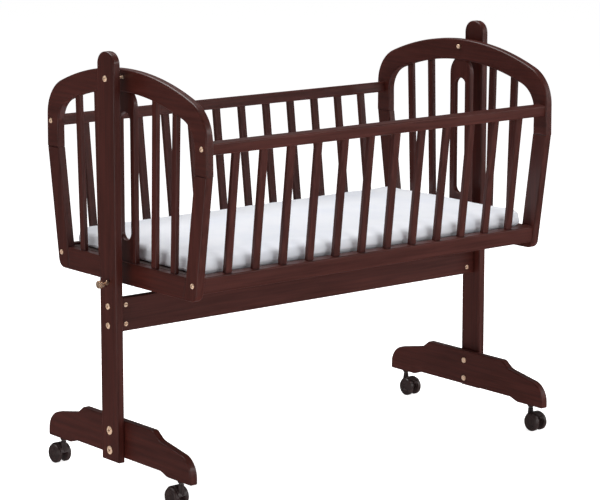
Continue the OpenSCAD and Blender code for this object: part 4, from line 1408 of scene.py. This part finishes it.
@dataclass
class CradleEnds:
    """The arches, legs, end rails, end slats and slotted centre boards.

    Each of the slats is how far its foot and its head stand from the middle.
    """

    finishes: Finishes
    rows: bpy.types.NodeTree
    slat: Slat = Slat()
    ease: float = 4.0 * MM
    leg_ease: float = 3.2 * MM
    rail_ease: float = 2.2 * MM
    board_ease: float = 2.2 * MM
    slat_ease: float = 2.2 * MM
    joint_share: float = 0.80
    crown_r: float = 630 * MM
    corner_r: float = 85 * MM
    arch_h: float = 48 * MM
    side_w: float = 42 * MM
    inner_crown_r: float = 600 * MM
    inner_corner_r: float = 60 * MM
    leg_w: float = 41 * MM
    leg_step: float = 1.5 * MM
    leg_lean: float = 0.144
    leg_corner_r: float = 20 * MM
    slats: tuple[tuple[float, float], ...] = ((96.5 * MM, 105 * MM), (164 * MM, 175.5 * MM))
    shoulder_r: float = 45 * MM
    shoulder_z: float = 806 * MM
    slot_w: float = 36 * MM
    slot_low: float = 526 * MM
    slot_high: float = 797 * MM
    arch_steps: int = 22
    leg_steps: int = 8
    shoulder_steps: int = 12
    slot_steps: int = 18

    def arch_side(self, top: float, half: float, crown: float, corner: float, steps: int) -> list[Point]:
        """Gives half of an arch's curve, from the crown's middle to the start of the straight side.

        Args:
            top: The curve's height at the middle.
            half: Its half width.
            crown: The crown's radius.
            corner: The corner's radius.
            steps: The number of stretches in each of the two arcs.

        Returns:
            The points, from the middle outwards.
        """
        centre = top - crown
        rise = math.sqrt((crown - corner) ** 2 - (half - corner) ** 2)
        lean = math.degrees(math.atan2(rise, half - corner))
        points = arc((0, centre), crown, 90, lean, steps)
        return points + arc((half - corner, centre + rise), corner, lean, 0, steps)[1:]

    def arch(self, end: str) -> None:
        """Builds an arch.

        Args:
            end: left or right.
        """
        low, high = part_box(f"{end}_arch")
        outer = self.arch_side(high.z, high.y, self.crown_r, self.corner_r, self.arch_steps)
        inner = self.arch_side(high.z - self.arch_h, high.y - self.side_w, self.inner_crown_r,
                               self.inner_corner_r, self.arch_steps)
        half = [(high.y, low.z), *outer[::-1]]
        back = [*inner, (high.y - self.side_w, low.z)]
        outline = [*half, *mirrored(half)[1:], *mirrored(back), *back[1:]]

        def soft(point: Point) -> float:
            """Lessens the rounding at the joints with the legs."""
            return self.joint_share if point[1] < low.z + NEAR else 1.0

        slab = eased_slab(outline, (low.x, high.x), self.ease, soft=soft, steps=5)
        shape = Shape().add(slab, Plane.YZ.matrix())
        placed(shape.finish(f"{end}_arch_board", self.finishes.wood[Grain.ALONG_Y]), "cradle", Slot.WOOD,
               f"{end}_arch")

    def leg(self, end: str, side: str, way: int) -> None:
        """Builds a leg.

        Args:
            end: left or right.
            side: front or back.
            way: -1 for the front, 1 for the back.
        """
        name = f"{end}_{side}_leg"
        low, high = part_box(name)
        top_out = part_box(f"{end}_arch")[1].y - self.leg_step

        def out(z: float) -> float:
            """Gives the leg's outer edge at a height."""
            return top_out - self.leg_lean * (high.z - z)

        outline = rounded([(out(low.z) - self.leg_w, low.z), (out(low.z), low.z), (top_out, high.z),
                           (top_out - self.leg_w, high.z)], [0, self.leg_corner_r, 0, 0], self.leg_steps)

        def soft(point: Point) -> float:
            """Lessens the rounding at the joints with the arch and the end rail."""
            jointed = point[1] > high.z - NEAR or point[0] < out(low.z) - self.leg_w + NEAR
            return self.joint_share if jointed else 1.0

        place = Plane.YZ.matrix() if way > 0 else ACROSS @ Plane.YZ.matrix()
        shape = Shape().add(eased_slab(outline, (low.x, high.x), self.leg_ease, soft=soft), place)
        placed(shape.finish(f"{name}_board", self.finishes.wood[Grain.ALONG_Z]), "cradle", Slot.WOOD, name)

    def end_rail(self, end: str) -> None:
        """Builds an end rail between its two legs.

        Args:
            end: left or right.
        """
        low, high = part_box(f"{end}_end_rail")
        slant = self.leg_lean * (high.z - low.z)
        outline = [(slant - high.y, low.z), (high.y - slant, low.z), (high.y, high.z), (-high.y, high.z)]
        shape = Shape().add(eased_slab(outline, (low.x, high.x), self.rail_ease), Plane.YZ.matrix())
        placed(shape.finish(f"{end}_end_rail_board", self.finishes.wood[Grain.ALONG_Y]), "cradle", Slot.WOOD,
               f"{end}_end_rail")

    def board(self, end: str) -> None:
        """Builds a centre board with its long round-ended slot.

        Args:
            end: left or right.
        """
        low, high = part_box(f"{end}_center_board")
        half = high.y
        r = self.shoulder_r
        peak = math.degrees(math.acos((r - half) / r))
        right = arc((half - r, self.shoulder_z), r, 0, peak, self.shoulder_steps)
        right = [p for p in right if p[1] < high.z]
        outline = [(half, low.z), *right, *mirrored(right), (-half, low.z)]
        s = self.slot_w / 2
        slot = arc((0, self.slot_high - s), s, 180, 0, self.slot_steps)
        slot += arc((0, self.slot_low + s), s, 0, -180, self.slot_steps)
        slab = eased_slab(outline, (low.x, high.x), self.board_ease, holes=[slot])
        shape = Shape().add(slab, Plane.YZ.matrix())
        placed(shape.finish(f"{end}_slotted_board", self.finishes.wood[Grain.ALONG_Z]), "cradle", Slot.WOOD,
               f"{end}_center_board")

    def slat_set(self) -> None:
        """Builds the eight end slats: each tree run makes the two that lean alike."""
        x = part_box("end_slats")[1].x - self.slat.thickness / 2
        rail_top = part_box("left_end_rail")[1].z
        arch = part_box("left_arch")[1].z - self.arch_h
        tenon = self.slat.tenon
        parts = []
        for side_name, way in SIDES:
            for number, (foot, head) in enumerate(self.slats):
                top = arch - self.inner_crown_r + math.sqrt(self.inner_crown_r ** 2 - head ** 2)
                lean = (head - foot) / (top - rail_top)
                start = Vector((-x, way * (foot - lean * tenon), rail_top - tenon))
                reach = Vector((0, way * lean, 1)) * (top - rail_top + 2 * tenon)
                values = {"Count": 2, "First": start, "Step": Vector((2 * x, 0, 0)), "Reach": reach,
                          "Width": self.slat.thickness, "Thickness": self.slat.width,
                          "Edge Radius": self.slat_ease, "Finish": self.finishes.wood[Grain.ALONG_Z]}
                parts.append(grown(f"end_slat_{side_name}_{number}", self.rows, values))
        placed(joined("end_slat_set", parts), "cradle", Slot.WOOD, "end_slats")

    def build(self) -> None:
        """Builds both ends."""
        for end, _ in ENDS:
            self.arch(end)
            self.end_rail(end)
            self.board(end)
            for side, way in SIDES:
                self.leg(end, side, way)
        self.slat_set()
        dress("arch_dowels", self.finishes.beech)
        dress("end_rail_dowels", self.finishes.beech)


# ---- the cradle's sides ------------------------------------------------------------------------


@dataclass
class CradleSides:
    """The two leaning sides: a top rail, a bottom rail and a row of slats each."""

    finishes: Finishes
    rows: bpy.types.NodeTree
    slat: Slat = Slat()
    rail_t: float = 24 * MM
    top_h: float = 24 * MM
    low_h: float = 36 * MM
    top_mid: Point = (272 * MM, 750 * MM)
    low_mid: Point = (237.97 * MM, 466 * MM)
    rail_ease: float = 3.0 * MM
    saw_ease: float = 0.2 * MM
    slat_ease: float = 2.0 * MM

    def rail(self, name: str, middle: Point, height: float, way: int, turn: float) -> None:
        """Builds one rail.

        Args:
            name: The rail's name.
            middle: The middle of its section, as the back rail has it.
            height: Its height before it leans.
            way: -1 for the front, 1 for the back.
            turn: How far the side leans out, in radians.
        """
        low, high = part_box(name)
        half_t, half_h = self.rail_t / 2, height / 2
        section = rounded([(-half_t, -half_h), (half_t, -half_h), (half_t, half_h), (-half_t, half_h)],
                          [self.rail_ease] * 4, 5)
        tilt = Matrix.Rotation(-way * turn, 4, "X")
        place = Matrix.Translation((0, way * middle[0], middle[1])) @ tilt @ Plane.YZ.matrix()
        shape = Shape().add(eased_slab(section, (low.x, high.x), self.saw_ease, steps=1), place)
        placed(shape.finish(f"{name}_bar", self.finishes.wood[Grain.ALONG_X]), "cradle", Slot.WOOD, name)

    def build(self) -> None:
        """Builds both sides."""
        lean = Vector((self.top_mid[0] - self.low_mid[0], self.top_mid[1] - self.low_mid[1]))
        along = lean.normalized()
        turn = math.atan2(lean.x, lean.y)
        for side, way in SIDES:
            self.rail(f"{side}_top_rail", self.top_mid, self.top_h, way, turn)
            self.rail(f"{side}_bottom_rail", self.low_mid, self.low_h, way, turn)
            low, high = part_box(f"{side}_slats")
            step = (high.x - low.x - self.slat.width) / (self.slat.per_side - 1)
            start = Vector(self.low_mid) + along * (self.low_h / 2 - self.slat.tenon)
            run = lean.length - self.low_h / 2 - self.top_h / 2 + 2 * self.slat.tenon
            values = {"Count": self.slat.per_side, "Step": Vector((step, 0, 0)),
                      "First": Vector((low.x + self.slat.width / 2, way * start.x, start.y)),
                      "Reach": Vector((0, way * along.x, along.y)) * run,
                      "Width": self.slat.width, "Thickness": self.slat.thickness,
                      "Edge Radius": self.slat_ease, "Finish": self.finishes.wood[Grain.ALONG_Z]}
            placed(grown(f"{side}_slat_row", self.rows, values), "cradle", Slot.WOOD, f"{side}_slats")


# ---- the bed -----------------------------------------------------------------------------------


@dataclass
class Bed:
    """The mattress, the board that it lies on and the board's cleats.

    Each of the waves is a count per metre, a seed and a height.
    """

    finishes: Finishes
    slat: Slat = Slat()
    end_gap: float = 0.5 * MM
    side_gap: float = 1.0 * MM
    top_room: float = 5 * MM
    corner_r: float = 12 * MM
    edge_r: float = 10.5 * MM
    voxel: float = 6 * MM
    pressure: float = 4.0
    swell: float = 7 * MM
    frames: int = 20
    quality: int = 4
    side_zone: float = 24 * MM
    over_rail: float = 484.5 * MM
    over_rise: float = 4 * MM
    to_slats: float = 6.2 * MM
    bulge: float = 3.6 * MM
    bulge_power: float = 0.8
    bulge_lift: float = 2.0 * MM
    slat_half: float = 10 * MM
    held_h: float = 3 * MM
    waves: tuple[tuple[float, float, float], ...] = ((9, 3.1, 0.9 * MM), (26, 7.7, 0.35 * MM))
    tuck_reach: float = 95 * MM
    tucks: float = 11
    tuck_drift: float = 7
    tuck_depth: float = 3.0 * MM
    tuck_up: float = 0.7
    tuck_out: float = 0.35
    crown_room: float = 2 * MM

    def pad(self, low: Vector, high: Vector) -> tuple[list[Vector], Faces]:
        """Gives the mattress before it is filled: a slab with rounded corners and edges.

        Args:
            low: The lowest corner of its space.
            high: The highest corner.

        Returns:
            The vertices and the faces.
        """
        x, y = high.x - self.end_gap, high.y - self.side_gap
        outline = rounded([(-x, -y), (x, -y), (x, y), (-x, y)], [self.corner_r] * 4, 10)
        return eased_slab(outline, (low.z, high.z - self.top_room), self.edge_r, steps=6)

    def even_faces(self, piece: bpy.types.Object) -> None:
        """Gives the mattress faces of one size, for its cloth and its folds.

        Args:
            piece: The mattress.
        """
        remesh = piece.modifiers.new("even_faces", "REMESH")
        remesh.mode = "VOXEL"
        remesh.voxel_size = self.voxel
        applied(piece)

    def fill(self, piece: bpy.types.Object) -> None:
        """Fills the mattress by cloth simulation, so that it crowns and its sides pull in.

        Args:
            piece: The flat slab, with even faces.
        """
        start = [v.co.copy() for v in piece.data.vertices]
        floor = min(v.z for v in start)
        group = piece.vertex_groups.new(name="held")
        for v in piece.data.vertices:
            if v.co.z < floor + self.held_h:
                group.add([v.index], 1.0, "REPLACE")
        cloth = piece.modifiers.new("fill", "CLOTH")
        cloth.settings.use_pressure = True
        cloth.settings.uniform_pressure_force = self.pressure
        cloth.settings.vertex_group_mass = "held"
        cloth.settings.effector_weights.gravity = 0
        cloth.settings.quality = self.quality
        cloth.collision_settings.use_self_collision = False
        scene = bpy.context.scene
        for number in range(1, self.frames + 1):
            scene.frame_set(number)
        applied(piece)
        scene.frame_set(1)
        for v, before in zip(piece.data.vertices, start):
            step = v.co - before
            if step.length > self.swell:
                v.co = before + step.normalized() * self.swell

    def between_slats(self, x: float) -> float:
        """Gives how far the cover bulges at a place along the side, from 0 behind a slat to 1 midway.

        Args:
            x: The place along the side.

        Returns:
            The share of the bulge.
        """
        low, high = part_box("front_slats")
        pitch = (high.x - low.x - self.slat.width) / (self.slat.per_side - 1)
        along = (x - low.x - self.slat.width / 2) % pitch
        part = (along - self.slat_half) / (pitch - 2 * self.slat_half)
        return math.sin(math.pi * max(0.0, min(1.0, part))) ** self.bulge_power

    def press(self, piece: bpy.types.Object, high: Vector) -> None:
        """Lets the long sides rest on the rails, touch the slats and bulge between them.

        Args:
            piece: The mattress.
            high: The highest corner of its space.
        """
        for v in piece.data.vertices:
            co = v.co
            side = smooth((abs(co.y) - high.y + self.side_zone) / self.side_zone)
            share = side * smooth((co.z - self.over_rail) / self.over_rise)
            puff = self.between_slats(co.x)
            co.y += math.copysign((self.to_slats + self.bulge * puff) * share, co.y)
            co.z += self.bulge_lift * (puff - 0.5) * share

    def crease(self, piece: bpy.types.Object, low: Vector, high: Vector) -> None:
        """Adds the soft waves of the cover and the tucks at its corners.

        Args:
            piece: The mattress.
            low: The lowest corner of its space.
            high: The highest corner.
        """
        for v in piece.data.vertices:
            co = v.co
            up = max(0.0, min(1.0, (co.z - low.z) / (high.z - low.z)))
            wave = sum(noise.noise(Vector((co.x * count, co.y * count, seed))) * depth
                       for count, seed, depth in self.waves)
            corner = Vector((high.x - abs(co.x), high.y - abs(co.y)))
            near = max(0.0, 1 - corner.length / self.tuck_reach)
            turn = math.atan2(corner.y, corner.x) * self.tucks + co.x * self.tuck_drift
            fold = math.sin(turn) * near * near * self.tuck_depth
            rim = 1 - abs(2 * up - 1)
            co.z += (wave + fold * self.tuck_up) * up
            out = fold * self.tuck_out * rim
            co += Vector((math.copysign(1, co.x), math.copysign(1, co.y), 0)) * out
            co.x = max(low.x, min(high.x, co.x))
            co.y = max(low.y, min(high.y, co.y))
            co.z = max(low.z, min(high.z + self.crown_room, co.z))

    def mattress(self) -> None:
        """Builds the mattress."""
        low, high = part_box("mattress")
        piece = Shape().add(self.pad(low, high)).finish("mattress_pad", self.finishes.cover)
        self.even_faces(piece)
        self.fill(piece)
        self.crease(piece, low, high)
        self.press(piece, high)
        finer = piece.modifiers.new("finer", "SUBSURF")
        finer.levels = finer.render_levels = 1
        applied(piece)
        for face in piece.data.polygons:
            face.use_smooth = True
        piece.data.materials.clear()
        piece.data.materials.append(self.finishes.cover)
        placed(piece, "cradle", Slot.COVER, "mattress")

    def build(self) -> None:
        """Builds the mattress and dresses what carries it."""
        self.mattress()
        dress("mattress_board", self.finishes.hardboard)
        dress("board_cleats", self.finishes.wood[Grain.ALONG_X])


# ---- the casters -------------------------------------------------------------------------------


@dataclass(frozen=True)
class Plate:
    """An outline in millimetres and the rounding of its corners."""

    corners: tuple[Point, ...]
    radii: tuple[float, ...]

    def outline(self, origin: Point) -> list[Point]:
        """Gives the rounded outline, in metres from an origin."""
        points = [(origin[0] + u * MM, origin[1] + v * MM) for u, v in self.corners]
        return rounded(points, [r * MM for r in self.radii], 4)


@dataclass
class Caster:
    """One twin-wheel caster, drawn round its stem with its wheels trailing towards +Y.

    The hood's cheeks are drawn from the wheels' axle, and the brake's arm and tab from its pivot.
    A braked caster's fender and web start further round, which leaves room for the lever. The points of
    face are shares of the wheel's radius and depths in millimetres.
    """

    finishes: Finishes
    name: str
    stem: Vector
    turned_round: bool
    braked: bool
    wheel_r: float = 21 * MM
    wheel_w: float = 11 * MM
    gap: float = 15 * MM
    trail: float = 16 * MM
    fender: float = 2.4 * MM
    fender_t: float = 1.7 * MM
    fender_half: float = 11.5 * MM
    fender_ease: float = 0.7 * MM
    fender_deg: Point = (12, 168)
    braked_fender_deg: Point = (52, 168)
    web_deg: Point = (14, 166)
    braked_web_deg: Point = (46, 166)
    web_step: float = 0.5 * MM
    web_hub_r: float = 8 * MM
    web_hub_deg: Point = (200, 340)
    web_ease: float = 0.6 * MM
    wheel_clear: float = 0.35 * MM
    cheek: Plate = Plate(((3, 2), (17, 2), (17, 13), (9, 17), (3, 17)), (1, 2, 4, 2, 0))
    cheek_t: float = 2.6 * MM
    plate_ease: float = 0.5 * MM
    neck_r: float = 6 * MM
    neck_top: float = 50.4 * MM
    neck_low: float = 6 * MM
    neck_foot: Point = (1 * MM, 4 * MM)
    neck_root: Point = (0.2 * MM, 1 * MM)
    neck_edge: float = 0.8 * MM
    shoulder_r: float = 5 * MM
    tread_edge: float = 0.8 * MM
    face: tuple[Point, ...] = ((0.70, 0.1), (0.67, 0.7), (0.64, 0.7), (0.61, 0.05), (0.34, 0.1),
                               (0.31, 0.9), (0.27, 0.9), (0.24, 0.3), (0.12, 0.02), (0, 0))
    brake_pivot: Point = (13.5 * MM, 10.5 * MM)
    brake_pivot_r: float = 1.3 * MM
    arm: Plate = Plate(((-2, -1.4), (6.8, -0.6), (7, 3), (-2, 2.2)), (1.2, 0.8, 0.6, 1.2))
    arm_clear: float = 0.3 * MM
    tab: Plate = Plate(((4.8, 2.4), (8.6, 2.4), (10, 4.4), (9, 4.8), (4.8, 4.6)), (0.6, 0.8, 0.3, 0.4, 0.8))
    tab_half: float = 7 * MM
    rim_steps: int = 26
    hub_steps: int = 12
    shoulder_deg: float = 82
    shoulder_steps: int = 8
    neck_around: int = 40
    wheel_around: int = 64
    pivot_around: int = 20
    hood_sharp_deg: float = 38
    wheel_sharp_deg: float = 30
    brake_sharp_deg: float = 35

    @property
    def place(self) -> Matrix:
        """Gives the matrix from the caster's own frame to the object's."""
        turn = Matrix.Rotation(math.pi if self.turned_round else 0.0, 4, "Z")
        return Matrix.Translation((self.stem.x, self.stem.y, 0)) @ turn

    @property
    def web_half(self) -> float:
        """Gives half the room between the wheels, less their clearance."""
        return self.gap / 2 - self.wheel_clear

    def plate(self, outline: Sequence[Point], span: tuple[float, float], ease: float, shape: Shape,
              steps: int = 2) -> None:
        """Adds an upright plate to one of the caster's pieces.

        Args:
            outline: Its outline, seen from the side.
            span: Its two faces, across the caster.
            ease: The radius of its edges.
            shape: The piece.
            steps: The number of stretches in a rounded edge.
        """
        shape.add(eased_slab(outline, span, ease, steps=steps), self.place @ Plane.YZ.matrix())

    def hood(self) -> None:
        """Builds the fender, the web between the wheels and the neck round the stem."""
        r = self.wheel_r + self.fender
        axle = (self.trail, self.wheel_r)
        fender_from, fender_to = self.braked_fender_deg if self.braked else self.fender_deg
        web_from, web_to = self.braked_web_deg if self.braked else self.web_deg
        shape = Shape()
        fender = arc(axle, r, fender_from, fender_to, self.rim_steps)
        fender += arc(axle, r - self.fender_t, fender_to, fender_from, self.rim_steps)
        self.plate(fender, (-self.fender_half, self.fender_half), self.fender_ease, shape, 3)
        web = arc(axle, r - self.web_step, web_from, web_to, self.rim_steps)
        web += arc(axle, self.web_hub_r, *self.web_hub_deg, self.hub_steps)
        self.plate(web, (-self.web_half, self.web_half), self.web_ease, shape)
        if self.braked:
            inside = self.web_half - self.cheek_t
            for span in ((-self.web_half, -inside), (inside, self.web_half)):
                self.plate(self.cheek.outline(axle), span, self.plate_ease, shape)
        base = self.wheel_r + self.neck_low
        top = self.wheel_r + r
        foot_r, root_r = self.neck_r + self.neck_foot[0], self.neck_r + self.neck_root[0]
        neck = [(0, base), (foot_r, base), (foot_r, top - self.neck_foot[1]),
                (root_r, top - self.neck_root[1]), (self.neck_r, self.neck_top - self.neck_edge),
                (self.neck_r - self.neck_edge, self.neck_top), (0, self.neck_top)]
        shape.add(turned(neck, self.neck_around), self.place)
        hood = shape.finish(f"{self.name}_caster_hood", self.finishes.plastic, self.hood_sharp_deg)
        placed(hood, f"{self.name}_caster", Slot.PLASTIC, f"{self.name}_hood")

    def wheel(self, letter: str, side: int) -> None:
        """Builds one wheel with a rounded shoulder, a grooved face and a hub cap.

        Args:
            letter: a or b, as in the wheel's name.
            side: -1 or 1, the side of the web that it is on.
        """
        r, w = self.wheel_r, self.wheel_w
        shoulder = arc((r - self.shoulder_r, w - self.shoulder_r), self.shoulder_r, 0, self.shoulder_deg,
                       self.shoulder_steps)
        profile = [(0, 0), (r - self.tread_edge, 0), (r, self.tread_edge), *shoulder,
                   *[(r * share, w - depth * MM) for share, depth in self.face]]
        at = self.place @ Matrix.Translation((side * self.gap / 2, self.trail, r))
        turn = Matrix.Rotation(side * math.pi / 2, 4, "Y")
        shape = Shape().add(turned(profile, self.wheel_around), at @ turn)
        wheel = shape.finish(f"{self.name}_roller_{letter}", self.finishes.tread, self.wheel_sharp_deg)
        placed(wheel, f"{self.name}_wheel_{letter}", Slot.PLASTIC, f"{self.name}_wheel_{letter}")

    def brake(self) -> None:
        """Builds the brake lever: an arm, its pivots and a tab that turns up at its end."""
        pivot = (self.trail + self.brake_pivot[0], self.wheel_r + self.brake_pivot[1])
        arm_half = self.web_half - self.cheek_t - self.arm_clear
        shape = Shape()
        self.plate(self.arm.outline(pivot), (-arm_half, arm_half), self.plate_ease, shape)
        self.plate(self.tab.outline(pivot), (-self.tab_half, self.tab_half), self.web_ease, shape)
        half, r = self.web_half, self.brake_pivot_r
        pin = turned([(0, -half), (r, -half), (r, half), (0, half)], self.pivot_around)
        shape.add(pin, self.place @ Matrix.Translation((0, *pivot)) @ TO_X)
        lever = shape.finish(f"{self.name}_brake_lever", self.finishes.plastic, self.brake_sharp_deg)
        placed(lever, f"{self.name}_brake", Slot.PLASTIC, f"{self.name}_brake")

    def build(self) -> None:
        """Builds the whole caster."""
        self.hood()
        for letter, side in (("a", -1), ("b", 1)):
            self.wheel(letter, side)
        if self.braked:
            self.brake()
        dress(f"{self.name}_axle", self.finishes.nickel)


@dataclass
class CasterSet:
    """The four casters and what holds them in the feet."""

    finishes: Finishes
    braked_ends: tuple[str, ...] = ("right",)
    collar_r: float = 7.6 * MM
    collar_h: float = 4 * MM
    flare: tuple[Point, ...] = ((0.78, 0), (0.86, 0.6 * MM), (1, 2.4 * MM))
    bore_r: float = 4.2 * MM
    shaft_r: float = 5.4 * MM
    around: int = 40
    sharp_deg: float = 35

    def sockets(self, stems: Sequence[Vector]) -> None:
        """Builds the sockets, each with a flared collar under the foot.

        Args:
            stems: The places of the four stems.
        """
        low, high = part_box("caster_sockets")
        collar_top = low.z + self.collar_h
        flare = [(self.collar_r * share, low.z + rise) for share, rise in self.flare]
        profile = [(self.bore_r, low.z), *flare, (self.collar_r, collar_top), (self.shaft_r, collar_top),
                   (self.shaft_r, high.z), (self.bore_r, high.z)]
        shape = Shape()
        for stem in stems:
            shape.add(turned_ring(profile, self.around), Matrix.Translation((stem.x, stem.y, 0)))
        rings = shape.finish("caster_socket_rings", self.finishes.plastic, self.sharp_deg)
        placed(rings, "stand", Slot.PLASTIC, "caster_sockets")

    def build(self) -> None:
        """Builds all four casters and their sockets."""
        stems = []
        for end, _ in ENDS:
            for side, _ in SIDES:
                stem = joint_place(f"{end}_{side}_swivel")
                Caster(self.finishes, f"{end}_{side}", stem, end == "right", end in self.braked_ends).build()
                stems.append(stem)
        dress("caster_stems", self.finishes.steel)
        self.sockets(stems)


# ---- the studio --------------------------------------------------------------------------------


@dataclass
class Studio:
    """The pale floor, the soft lights and the camera at the photograph's angle."""

    eye: Vector = field(default_factory=lambda: Vector((-3.414, -4.206, 1.485)))
    yaw_deg: float = 38.99
    pitch_deg: float = 9.69
    sensor_w: float = 36
    lens: float = 149.06
    shift_y: float = -0.0833
    sight: float = 100
    aim: Vector = field(default_factory=lambda: Vector((0, 0, 0.5)))
    ambient: float = 0.12
    floor_glow: float = 0.88
    floor_half: float = 30.0
    floor_white: float = 0.93
    lamps: tuple[tuple[str, tuple[float, float, float], float, float], ...] = (
        ("top", (-0.2, 0.9, 3.4), 2.4, 104.0),
        ("front", (0.8, -4.4, 1.1), 2.2, 42.0),
        ("right", (4.8, -1.9, 1.6), 2.4, 92.0),
        ("edge", (2.5, -3.8, 2.3), 0.9, 14.0),
        ("low_left", (-2.3, -0.5, 0.2), 0.9, 8.0),
    )

    def floor(self) -> None:
        """Makes the floor, which glows like a lit sweep and stays out of reflections."""
        made = Shader("studio_floor", (self.floor_white,) * 3, 0.9)
        made.set("Specular IOR Level", 0.0)
        made.set("Emission Color", (1.0, 1.0, 1.0, 1.0))
        made.set("Emission Strength", self.floor_glow)
        half = self.floor_half
        verts = [(-half, -half, 0), (half, -half, 0), (half, half, 0), (-half, half, 0)]
        data = bpy.data.meshes.new("floor")
        data.from_pydata(verts, [], [(0, 1, 2, 3)])
        data.materials.append(made.material)
        floor = link("floor", data)
        floor.visible_glossy = False

    def light(self, name: str, at: tuple[float, float, float], size: float, power: float) -> None:
        """Adds one soft square light aimed at the cradle.

        Args:
            name: The light's name.
            at: Where it stands.
            size: The length of its side.
            power: Its power in watts.
        """
        data = bpy.data.lights.new(name, "AREA")
        data.shape = "SQUARE"
        data.size = size
        data.energy = power
        lamp = bpy.data.objects.new(name, data)
        lamp.location = at
        lamp.visible_camera = False
        lamp.rotation_euler = (self.aim - Vector(at)).to_track_quat("-Z", "Y").to_euler()
        bpy.context.scene.collection.objects.link(lamp)

    def camera(self) -> None:
        """Sets the camera."""
        data = bpy.data.cameras.new("camera")
        data.sensor_width = self.sensor_w
        data.lens = self.lens
        data.shift_y = self.shift_y
        data.clip_end = self.sight
        camera = bpy.data.objects.new("camera", data)
        camera.location = self.eye
        camera.rotation_euler = (math.radians(90 - self.pitch_deg), 0, -math.radians(self.yaw_deg))
        bpy.context.scene.collection.objects.link(camera)
        bpy.context.scene.camera = camera

    def world(self) -> None:
        """Sets a surround that is seen white and gives dim, even light."""
        world = bpy.data.worlds.new("surround")
        world.use_nodes = True
        nodes, links = world.node_tree.nodes, world.node_tree.links
        dim = nodes["Background"]
        dim.inputs["Color"].default_value = (1.0, 1.0, 1.0, 1.0)
        dim.inputs["Strength"].default_value = self.ambient
        white = nodes.new("ShaderNodeBackground")
        white.inputs["Strength"].default_value = 1.0
        white.inputs["Color"].default_value = (1.0, 1.0, 1.0, 1.0)
        both = nodes.new("ShaderNodeMixShader")
        links.new(nodes.new("ShaderNodeLightPath").outputs["Is Camera Ray"], both.inputs[0])
        links.new(dim.outputs[0], both.inputs[1])
        links.new(white.outputs[0], both.inputs[2])
        links.new(both.outputs[0], nodes["World Output"].inputs["Surface"])
        bpy.context.scene.world = world
        bpy.context.scene.view_settings.view_transform = "Standard"

    def build(self) -> None:
        """Builds the studio."""
        self.world()
        self.floor()
        for lamp in self.lamps:
            self.light(*lamp)
        self.camera()


def main() -> None:
    """Builds the cradle and its studio."""
    logging.basicConfig(level=logging.INFO, format="%(name)s: %(message)s")
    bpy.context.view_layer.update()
    finishes = Finishes()
    rows = bar_row_tree()
    Stand(finishes).build()
    Fasteners(finishes, on_places_tree(), CradleSides.low_mid[0]).build()
    Lock(finishes).build()
    CradleEnds(finishes, rows).build()
    CradleSides(finishes, rows).build()
    Bed(finishes).build()
    CasterSet(finishes).build()
    Studio().build()


if __name__ == "__main__":
    main()
